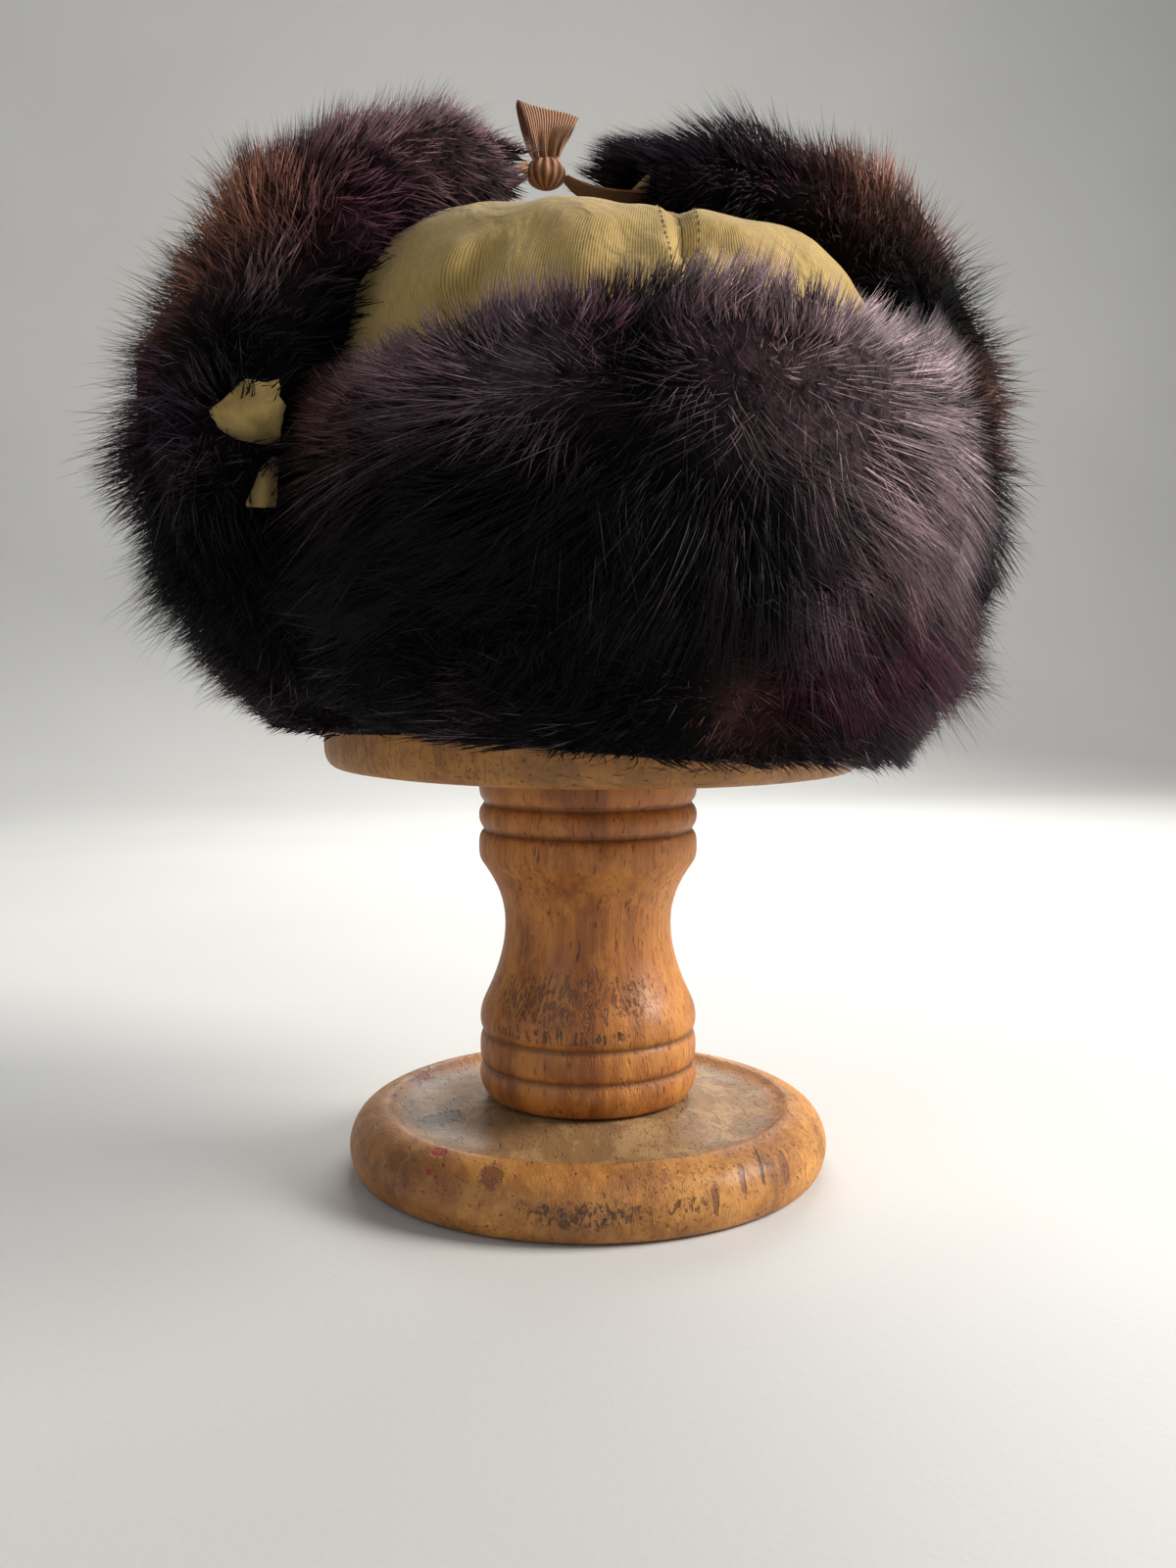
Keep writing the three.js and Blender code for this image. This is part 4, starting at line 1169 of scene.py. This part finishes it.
def dye_with_painted_highlight(name, points):
    """The dye at points of a flap's coat, with the lilac patches of painted highlight."""
    colour = np.tile(np.array(GROUND), (len(points), 1))
    colour = colour * np.exp(MOTTLED * wander(points, MOTTLE_SIZE, 21)[:, None])
    for spot, reach, patch, strength in patch_places[name]:
        near = np.exp(-((np.linalg.norm(points - spot, axis=1) / reach) ** 2))
        share = np.clip(near * strength * PATCH_GAIN, 0, 1)[:, None]
        colour = colour * (1 - share) + np.array(patch) * share
    return colour


# Painted shadow: where the coat lies in shade, its black-dyed hair is painted darker still, to black.
PAINTED_SHADOW_AREAS = {
    # picture point, reach across and down in mm
    "front_flap": [
        (475, 575, 62, 44), (620, 660, 46, 50), (785, 520, 15, 22), (690, 480, 26, 30),
        (400, 630, 36, 40), (655, 385, 12, 26), (355, 530, 22, 18),
    ],
    "ear_flap_left": [(270, 360, 34, 20), (230, 570, 60, 30), (360, 340, 26, 24)],
    "ear_flap_right": [(600, 178, 12, 8), (740, 232, 24, 9), (945, 312, 20, 10)],
    "neck_flap": [],
}  # fmt: skip
PALE_AREAS = [
    # picture point, reach across and down in mm
    (310, 690, 16, 22), (160, 440, 18, 24), (560, 370, 14, 8), (520, 742, 44, 6), (720, 480, 8, 16),
    (705, 705, 7, 14), (120, 560, 14, 24),
]  # fmt: skip


def in_picture(points):
    """Where the camera sees points, in millimetres across and up at the stand's axis."""
    moved = (points * MM - np.array(EYE)) @ np.array(EYE_TURN)
    return moved[:, :2] / -moved[:, 2:] * EYE_DISTANCE / MM


def on_picture_plane(across, down):
    """A picture point in the same millimetres."""
    scale = EYE_DISTANCE / MM / FOCAL_PIXELS
    return np.array(((across - FRAME_WIDTH / 2) * scale, (FRAME_HEIGHT / 2 - down) * scale))


def inside(points, areas):
    """1 at points that the camera sees in the middle of an oval area, falling to 0 outside all of them."""
    share = np.zeros(len(points))
    seen = in_picture(points)
    for across, down, reach_x, reach_y in areas:
        off = (seen - on_picture_plane(across, down)) / (reach_x, reach_y)
        share = np.maximum(share, np.exp(-((off**2).sum(1) ** 2)))
    return share


def dye_with_painted_light(name, points):
    """The dye, with painted shadow: black in the areas where the coat lies in shade."""
    dark = inside(points, PAINTED_SHADOW_AREAS[name])[:, None]
    return dye_with_painted_highlight(name, points) * (1 - dark) + np.array(PAINTED_SHADOW_BLACK) * dark


# %% [markdown]
# The comb says where a hair's end lies beside and above its root, in millimetres. On the front flap the hair
# stands up along the top edge, falls over the flap, and parts in the middle. On the ear flaps it grows
# outwards and up, and at the tips it is drawn in or reaches over the crown. Combing by a few sums keeps the
# whole coat in one habit, which particles that are combed by hand would not.

# %% Comb
PARTING = 0.52
FRONT_ASIDE = 15
FRONT_FALL = 12
FRONT_STAND = 9
NECK_ASIDE = 10
NECK_FALL = -16
NECK_STAND = 15
EAR_ASIDE = 7
EAR_RISE = 8
TIP_REACH = 8


def comb_front(u, v):
    """Parted in the middle, falling in front and standing along the top edge."""
    stand = smoothstep(v, 0.6, 0.98)
    across = FRONT_ASIDE * np.tanh((u - PARTING) * 3.2) * (1 - 0.6 * stand)
    fall = lerp(2.5, -9, u) - FRONT_FALL * smoothstep(v, lerp(0.3, 0.06, u), 0.62)
    return across, lerp(fall, FRONT_STAND, stand)


def comb_neck(u, v):
    """Falling, and standing along the top edge."""
    return NECK_ASIDE * (2 * u - 1), lerp(NECK_FALL, NECK_STAND, smoothstep(v, 0.75, 1.0))


def comb_ear(u, v):
    """Outwards at the sides, down at the bottom and up above the fold."""
    low = lerp(1, -6, smoothstep(v, 0.05, 0.3))
    return EAR_ASIDE * (2 * u - 1) ** 3, lerp(low, EAR_RISE, smoothstep(v, 0.3, 0.75))


def comb(name, u, v):
    """How far the ends lie across and up from the roots, in millimetres."""
    if name in STANDING:
        return (comb_front if name == "front_flap" else comb_neck)(u, v)
    across, above = comb_ear(u, v)
    if name == "ear_flap_left":
        return across, above * (1 - 0.9 * smoothstep(v, 0.8, 0.98))
    return across, above + TIP_REACH * smoothstep(v, 0.84, 0.97)


# %% [markdown]
# A coat needs two things: a floor for the roots to stand on, and a depth at each place. The depth comes from
# the tables and falls off near the rim in a rounded curve, as the pile of a real flap thins at its edge.

# %% Coats of the flaps
RIM_RISE = 6.4
END_RISE = 5


def coat_of(name):
    """The coat's floor surface and its depth, for a flap."""
    flap = FLAPS[name]
    surface = flap_surface(flap)
    at_left, at_right = flap.get("crest_ends", (0, 0))
    full_at, full = np.array(flap.get("full", [(0, 1), (1, 1)])).T

    def coat(u, v):
        crest = flap["crest"] + at_left * (1 - u) ** 3 + at_right * u**3
        return surface(0.5 + (u - 0.5) * (1 + flap["overhang"]), v * (1 + crest))

    def depth(u, v):
        sides = np.minimum(1, RIM_RISE * u * (1 - u) + flap["rim"])
        end = np.minimum(1, END_RISE * (1 - v) + flap["rim"])
        deep = read_rows(flap["rows"], v)[-2] * np.interp(v, full_at, full)
        return deep * np.sqrt(np.clip(sides * end, 0, 1))

    return coat, depth


# %% [markdown]
# An ear flap's edges are not cut off square. The hide turns round them, and its hair fills the space
# between the flap and the crown. A little more than half a tube along each upright edge carries this part
# of the coat.

# %% Turned edges
ROLL_RADIUS = 4.0
ROLL_EDGE = 0.015
ROLLS = {
    # flap, which edge, from and to along it, hair depth, how far round, hairs
    "left_front_edge": ("ear_flap_left", "front", 0.05, 1.0, 36, 205, 4200),
    "right_front_edge": ("ear_flap_right", "front", 0.4, 1.0, 20, 200, 2400),
    "left_back_edge": ("ear_flap_left", "back", 0.35, 1.0, 15, 190, 1100),
    "right_back_edge": ("ear_flap_right", "back", 0.35, 1.0, 14, 190, 1100),
}


def roll_of(name):
    """A turned edge's floor surface and its depth."""
    flap_name, which, low, high, tall, sweep, _ = ROLLS[name]
    flap = FLAPS[flap_name]
    surface = flap_surface(flap)
    forwards = (which == "front") == (flap["side"] < 0)

    def coat(u, v):
        along = lerp(low, high, v)
        edge_u = np.full_like(along, 1 - ROLL_EDGE if forwards else ROLL_EDGE)
        across, _, out = frames_on(surface, edge_u, along)
        turn = np.radians(sweep) * (u if forwards else 1 - u)
        way = across if forwards else -across
        tube = out * np.cos(turn)[..., None] + way * np.sin(turn)[..., None]
        return surface(edge_u, along) + tube * ROLL_RADIUS

    def depth(u, v):
        inner = u if forwards else 1 - u
        ends = np.clip(np.minimum(v, 1 - v) * 8, 0.3, 1)
        tip = lerp(1.0, 0.45, smoothstep(v, 0.82, 1.0))
        low_side = lerp(0.42, 1.0, smoothstep(inner, 0.15, 0.6))
        return tall * ends * tip * low_side * lerp(1.0, 0.85, smoothstep(inner, 0.6, 1.0))

    return coat, depth


# %% [markdown]
# Under the hair lies a closed body of about half the coat's depth, so no gap shows the hide between the hairs.
# Its colour is the dye, darkened further as painted shade of the deep coat. It is an outer grid and an inner
# one, turned round and merged with it along the rim. Its soft lumps give the coat its swells.

# %% Undercoat
COAT_FLOOR = 2.6
ROLL_FLOOR = 0.2
UNDERCOAT_SHARE = 0.55
UNDERCOAT_CELLS = 40
RIM_SWELL = 14
RIM_MERGE = 2e-6
LUMP_HEIGHT = 0.09
LUMP_SIZE = 28
LIFT_SHARE = 0.25


def coat_parts(name):
    """The flap that a coat belongs to, its floor surface, its depth and how high its floor lies."""
    if name in ROLLS:
        return ROLLS[name][0], *roll_of(name), ROLL_FLOOR
    return name, *coat_of(name), COAT_FLOOR


def grow_undercoat(name):
    """A closed soft body: an outer grid and an inner one that meet at the coat's edge."""
    flap_name, coat, depth, floor = coat_parts(name)

    def outer(u, v):
        border = np.minimum(np.minimum(u, 1 - u), np.minimum(v, 1 - v))
        swell = np.sqrt(np.clip(border * RIM_SWELL, 0, 1))
        lumps = 1 + LUMP_HEIGHT * wander(coat(u, v), LUMP_SIZE, 11)
        height = floor + depth(u, v) * UNDERCOAT_SHARE * swell * lumps
        lift = read_rows(FLAPS[name]["rows"], v)[-1] * LIFT_SHARE * swell if name in STANDING else 0 * v
        _, up, out = frames_on(coat, u, v)
        return coat(u, v) + out * height[..., None] + up * lift[..., None]

    def inner(u, v):
        return coat(u, v) + frames_on(coat, u, v)[2] * floor

    columns = UNDERCOAT_CELLS // 3 if name in ROLLS else UNDERCOAT_CELLS
    bm = lay_grid(outer, columns, UNDERCOAT_CELLS)
    under = lay_grid(inner, columns, UNDERCOAT_CELLS)
    bmesh.ops.reverse_faces(under, faces=under.faces)
    scrap = bpy.data.meshes.new("scrap")
    under.to_mesh(scrap)
    under.free()
    bm.from_mesh(scrap)
    bpy.data.meshes.remove(scrap)
    bmesh.ops.remove_doubles(bm, verts=bm.verts, dist=RIM_MERGE)
    replaced = []
    if name == flap_name:
        replaced = [f"{name}_fur"]
        place_patches(name, BVHTree.FromBMesh(bm))
    points = np.array([tuple(vert.co) for vert in bm.verts]) / MM
    piece = keep(bm, f"{name}_undercoat", under_look, replaced)
    give_dye_and_painted_light(piece.data, dye_with_painted_light(flap_name, points))


# %% [markdown]
# Hairs are scattered over the coat by places drawn from a seeded generator. Every hair belongs to the nearest
# clump, and its end is drawn towards the clump's own. Its colour starts dark at the root, takes the dye of the
# patches around it with their painted shadow and highlight, and is made lighter or darker with its whole clump,
# which is what makes locks readable. A few guard hairs are pale, and the painted shadow darkens them too,
# outside the areas where pale hairs show. None grows over the place where the lining shows.

# %% Grow hair
EDGE_SHARE = 0.17
EDGE_BAND = 0.1
HAIR_RINGS = 2
ROLL_RISE = 4
TALL_JITTER = 0.09
TALL_WAVES = 0.1
SWIRL_ASIDE = 8
SWIRL_UP = 6
CALM = 0.45
STRAY = 2.6
USUAL_DEPTH = 22
ROOT_HEIGHT = 0.28
BEND_HEIGHT = 0.75
BEND_LEAN = 0.2
CLUMP_SPREAD = 0.25
CLUMP_SHADES = 0.5
HAIR_SHADES = 0.25
ROOT_SHADE = 0.3
TIP_SHADE = 1.35
PALE_SHARE = 0.05
PALE_AREA_SHARE = 0.22
PARTED_FLAPS = ("ear_flap_left", "front_flap")
PARTINGS = [
    # picture point, reach across and down in mm
    (256, 424, 10.0, 7.6), (267, 499, 3.6, 5.2),
]  # fmt: skip


def scatter(name, count, draw):
    """Places on a coat, across and along. More lie near the upper edge of a flap that is turned up."""
    u, v = draw.uniform(0.005, 0.995, (2, count))
    if name in STANDING:
        at_edge = draw.uniform(size=count) < EDGE_SHARE
        v = np.where(at_edge, 1 - EDGE_BAND * draw.uniform(size=count), v)
    return u, v


def clumps_of(base, count, draw):
    """The hair in the middle of each clump, and the number of each hair's clump."""
    clumps = draw.choice(len(base), count, replace=False)
    finder = kdtree.KDTree(count)
    for index, place in enumerate(clumps):
        finder.insert(base[place], index)
    finder.balance()
    return clumps, np.array([finder.find(point)[1] for point in base])


def grow_hair(name, kind, count, width, reach, clump_size, pull, seed, look):
    """Hairs over a flap's coat. Reach scales their height over the coat, pull draws ends together."""
    draw = np.random.default_rng(seed)
    flap_name, coat, depth, floor = coat_parts(name)
    u, v = scatter(name, count, draw)
    base = coat(u, v)
    across, up, out = frames_on(coat, u, v)
    deep = depth(u, v)
    aside, above = (0 * u, ROLL_RISE + 0 * v) if name in ROLLS else comb(name, u, v)
    swirl = wander(base, 52, seed % 7 + 31) + 0.5 * wander(base, 21, seed % 7 + 41)
    swirl_up = wander(base, 46, seed % 7 + 51) + 0.5 * wander(base, 19, seed % 7 + 61)
    jitter = draw.normal(size=(3, count))
    tall = reach * deep * (1 + TALL_JITTER * jitter[0] + TALL_WAVES * wander(base, 26, 71))
    calm = 1.0 if name in STANDING else CALM
    lean_aside = aside + SWIRL_ASIDE * swirl * calm + STRAY * jitter[1]
    waves = smoothstep(v, 0.0, 0.3) * (1 - 0.75 * smoothstep(v, 0.6, 0.9))
    lean_up = above + SWIRL_UP * swirl_up * calm * waves + STRAY * jitter[2]
    scale = np.clip(deep / USUAL_DEPTH, 0.45, 1.2)
    lean_up = np.where(lean_up > 0, lean_up, lean_up * scale)
    lean = across * (lean_aside * scale)[:, None] + up * lean_up[:, None]
    roots = base + out * (floor + ROOT_HEIGHT * deep)[:, None]
    middles = base + out * (floor + BEND_HEIGHT * tall)[:, None] + lean * BEND_LEAN
    tips = base + out * (floor + tall)[:, None] + lean
    clumps, mine = clumps_of(base, max(8, int(count / clump_size)), draw)
    centre = clumps[mine]
    hold = pull * draw.uniform(0.55, 1.0, count)[:, None]
    gathered = tips[centre] + (base - base[centre]) * CLUMP_SPREAD
    tips = tips * (1 - hold) + gathered * hold
    shade = np.exp(CLUMP_SHADES * draw.normal(size=len(clumps)))[mine]
    fine = np.exp(HAIR_SHADES * draw.normal(size=count))
    outside = base + out * (floor + deep * UNDERCOAT_SHARE)[:, None]
    tint = dye_with_painted_light(flap_name, outside) * (shade * fine)[:, None]
    # Painted shadow: hairs in the shadow areas are dark, and pale ones are darkened there too.
    dark = inside(outside, PAINTED_SHADOW_AREAS[flap_name])[:, None]
    bright = inside(outside, PALE_AREAS)
    is_pale = draw.uniform(size=count) < PALE_SHARE + PALE_AREA_SHARE * bright
    is_pale = is_pale[:, None] & (kind == "guard_hair")
    pale_tint = np.array(PALE) * (1 - 0.8 * dark * (1 - bright[:, None]))
    tip_tint = np.where(is_pale, pale_tint, tint * TIP_SHADE)
    widths = width * draw.uniform(0.7, 1.25, count)
    kept = np.ones(count, bool)
    if flap_name in PARTED_FLAPS:
        for part in (middles, tips):
            kept &= inside(part, PARTINGS) < 0.5
    hairs = [part[kept] for part in (roots, middles, tips, widths, tint * ROOT_SHADE, tip_tint)]
    keep_mesh(strand_mesh(f"{name}_{kind}", *hairs[:4], HAIR_RINGS, hairs[4:]), look)


UNDERFUR = {"front_flap": 15000, "ear_flap_left": 13500, "ear_flap_right": 11500, "neck_flap": 4500}
GUARDS = {"front_flap": 8000, "ear_flap_left": 8000, "ear_flap_right": 6000, "neck_flap": 2500}
for number, name in enumerate(FLAPS):
    grow_undercoat(name)
    grow_hair(name, "underfur", UNDERFUR[name], 0.56, 0.73, 16, 0.36, 100 + number, fur_look)
    grow_hair(name, "guard_hair", GUARDS[name], 0.25, 0.87, 3, 0.12, 200 + number, guard_look)
for number, name in enumerate(ROLLS):
    grow_undercoat(name)
    grow_hair(name, "underfur", ROLLS[name][-1], 0.6, 0.85, 16, 0.4, 300 + number, fur_look)

# %% [markdown]
# At the left ear flap's front edge the hair has parted, and the edge of the khaki lining that is turned out
# there shows twice. It is one narrow strip of cloth just over the undercoat. It dips into the coat in its
# middle, where hair covers it.

# %% Turned-out lining
STRIP_LINE = [(268, 390), (252, 424), (274, 466), (267, 518)]
STRIP_HALF_WIDTHS = [16, 36, 8, 15]
STRIP_LIFT = 0.0025
STRIP_DIP = 0.009
STRIP_WALL = 0.8
mass = bmesh.new()
for name in ("ear_flap_left", "left_front_edge"):
    mass.from_mesh(bpy.data.objects[f"{name}_undercoat"].data)
mass_tree = BVHTree.FromBMesh(mass)
mass.free()
strip_rows = np.array([(*place, half) for place, half in zip(STRIP_LINE, STRIP_HALF_WIDTHS)], float)
hits = [mass_tree.ray_cast(EYE, ray(*place))[3] for place in STRIP_LINE]
hits = np.array([hit for hit in hits if hit is not None])
print("strip's distances from the camera:", hits.round(4))


def strip_surface(u, v):
    """The strip between picture points, at the undercoat's distance from the camera."""
    across, down, half = read_rows(strip_rows, v)
    half = half * (1 + 0.05 * np.sin(29 * v) + 0.04 * np.sin(47 * v + 9 * u))
    far = np.interp(v, np.linspace(0, 1, len(hits)), hits) - STRIP_LIFT
    bulge = 0.002 * np.sin(np.pi * u) + 0.0009 * np.sin(13 * v + 6 * u)
    bulge = bulge + 0.0006 * np.sin(9 * u - 17 * v)
    sight = np.array([tuple(ray(a, d)) for a, d in zip(across + (2 * u - 1) * half, down)])
    dip = STRIP_DIP * np.exp(-(((v - 0.63) / 0.1) ** 2))
    return (np.array(EYE) + sight * (far - bulge + dip)[:, None]) / MM


bm = lay_grid(strip_surface, 14, 24)
print("strip in square metres:", round(area_of(bm), 6))
strip = keep(bm, "turned_out_lining", facing_khaki)
modifier(strip, "SOLIDIFY", thickness=STRIP_WALL * MM, offset=-1.0)

# %% [markdown]
# ## Ribbon bow
# The ties are tan grosgrain: a narrow ribbon with fine ribs along it. They come up from the ear flaps'
# tips, meet in a knot, and one stands up as a loop. Each ribbon is a grid laid along a curve, with its own
# width and sideways direction at each place, and given a thickness of about half a millimetre.

# %% Grosgrain
TAN = ((0.2, (0.12, 0.045, 0.018)), (0.5, (0.4, 0.175, 0.08)), (0.8, (0.62, 0.31, 0.16)))


def grosgrain(name, ribs):
    """Ribbed ribbon. Ribs is how many cross the piece's map."""
    look = Look(name, Sheen_Weight=0.25, Sheen_Roughness=0.35, Specular_IOR_Level=0.35)
    place = look.node("ShaderNodeTexCoord", output="UV")
    rib = look.wave(look.axis(place, 0), ribs) * 0.5 + 0.5
    fibre = look.noise(look.place(), 1100.0, 3.0, 0.7)
    age = look.noise(look.place(), 70.0, 3.0)
    tone = rib * 0.5 + fibre * 0.25 + age * 0.25
    look.feed(
        Base_Color=look.ramp(tone, *TAN),
        Roughness=look.between(fibre, 0.3, 0.7, 0.55, 0.75),
        Normal=look.bump(rib + fibre * 0.3, 0.9, 0.0006),
    )
    return look


ribbon_look = grosgrain("ribbon_grosgrain", ribs=20)
knot_look = grosgrain("knot_grosgrain", ribs=14)
print("ribbon looks:", ribbon_look.material.name, knot_look.material.name)

# %% [markdown]
# Where a ribbon is drawn into the knot it gathers, so it is pleated where its rows make it narrow. A curve
# with a flat bevel would give a ribbon too, but not its pleats.

# %% Ribbons
RIBBONS = {
    # name: rows of x, y, z, sideways direction, width
    "tie_left": [(-42, -2, 299.6, 0, 1, 0, 14), (-33, -3, 300.2, 0, 1, 0, 14), (-26, -6, 300.6, 0, 1, 0, 10),
                 (-21.3, -8, 303, 0, 1, 0, 7)],
    "tie_right": [(-9, -8, 303.6, 0, 1, 0, 7), (-3, -7, 301, 0, 1, 0, 12), (6, -5, 299.9, 0, 1, 0, 15),
                  (16, -4, 300, 0, 1, 0, 15), (27, -3, 299.4, 0, 1, 0, 15)],
    "bow_loop": [(-15, -10, 308.6, 1, 0, 0.1, 7), (-15.5, -12.5, 312.6, 1, 0, 0.05, 10),
                 (-15, -13.2, 317.6, 1, 0, -0.1, 15), (-14.4, -9.5, 322.3, 1, 0, -0.18, 18.5),
                 (-14, -4.5, 322.6, 1, 0, -0.18, 18.5), (-13.6, -0.8, 318.3, 1, 0, -0.1, 15),
                 (-14, -2, 312.6, 1, 0, 0, 10), (-14.5, -6, 308.5, 1, 0, 0, 7)],
    "bow_tail": [(-21.6, -11.5, 304.6, 0, 1, 0, 5), (-24, -13.5, 303.6, 0, 1, 0, 7),
                 (-27.5, -15, 301.6, 0, 1, 0, 8)],
}  # fmt: skip
RIBBON_WALL = 0.6
FLAT_WIDTH = 14


def ribbon_surface(rows):
    """A ribbon's middle layer: gathered into soft pleats where it is narrow."""
    rows = np.array(rows, float)

    def surface(u, v):
        x, y, z, side_x, side_y, side_z, width = read_rows(rows, v)
        centre = np.stack([x, y, z], -1)
        side = unit(np.stack([side_x, side_y, side_z], -1))
        ahead = np.stack(read_rows(rows, v + 0.01)[:3], -1) - np.stack(read_rows(rows, v - 0.01)[:3], -1)
        out = unit(np.cross(side, ahead))
        gather = np.clip(1 - width / FLAT_WIDTH, 0, 0.6)
        pleat = gather * 1.4 * np.sin(2 * np.pi * u * 3) + 0.25 * np.sin(2 * np.pi * (u + v))
        return centre + side * ((u - 0.5) * width)[..., None] + out * pleat[..., None]

    return surface


for name, rows in RIBBONS.items():
    bm = lay_grid(ribbon_surface(rows), 18, 9 * len(rows))
    print(name, "ribbon in square metres:", round(area_of(bm), 6))
    piece = keep(bm, f"{name}_ribbon", ribbon_look, [name])
    modifier(piece, "SOLIDIFY", thickness=RIBBON_WALL * MM, offset=0.0)

# %% [markdown]
# The knot is the ribbon wound round itself and pulled tight, so only slanting folds show on a rounded body.
# It is a grid wrapped round that body, and the folds are ridges in it. Its two poles are merged.

# %% Knot
KNOT_CENTRE = (-15, -8, 304.5)
KNOT_HALF = (6, 5, 5)
KNOT_WAVES = 5
KNOT_FOLD = 0.07
KNOT_SHRINK = 0.97


def knot_surface(u, v):
    """A rounded body with the ribbon's folds wound round it."""
    around = u * 2 * np.pi
    rise = (v - 0.5) * np.pi
    folds = 1 + KNOT_FOLD * np.abs(np.sin(around * KNOT_WAVES / 2 + 2.2 * rise)) * np.cos(rise)
    side = np.cos(rise) * folds
    body = np.stack([side * np.cos(around), side * np.sin(around), np.sin(rise)], -1)
    return np.array(KNOT_CENTRE) + body * np.array(KNOT_HALF) * KNOT_SHRINK


bm = lay_grid(knot_surface, 72, 40)
bmesh.ops.remove_doubles(bm, verts=bm.verts, dist=POLE)
bmesh.ops.recalc_face_normals(bm, faces=bm.faces)
keep(bm, "knot", knot_look, ["bow_knot"])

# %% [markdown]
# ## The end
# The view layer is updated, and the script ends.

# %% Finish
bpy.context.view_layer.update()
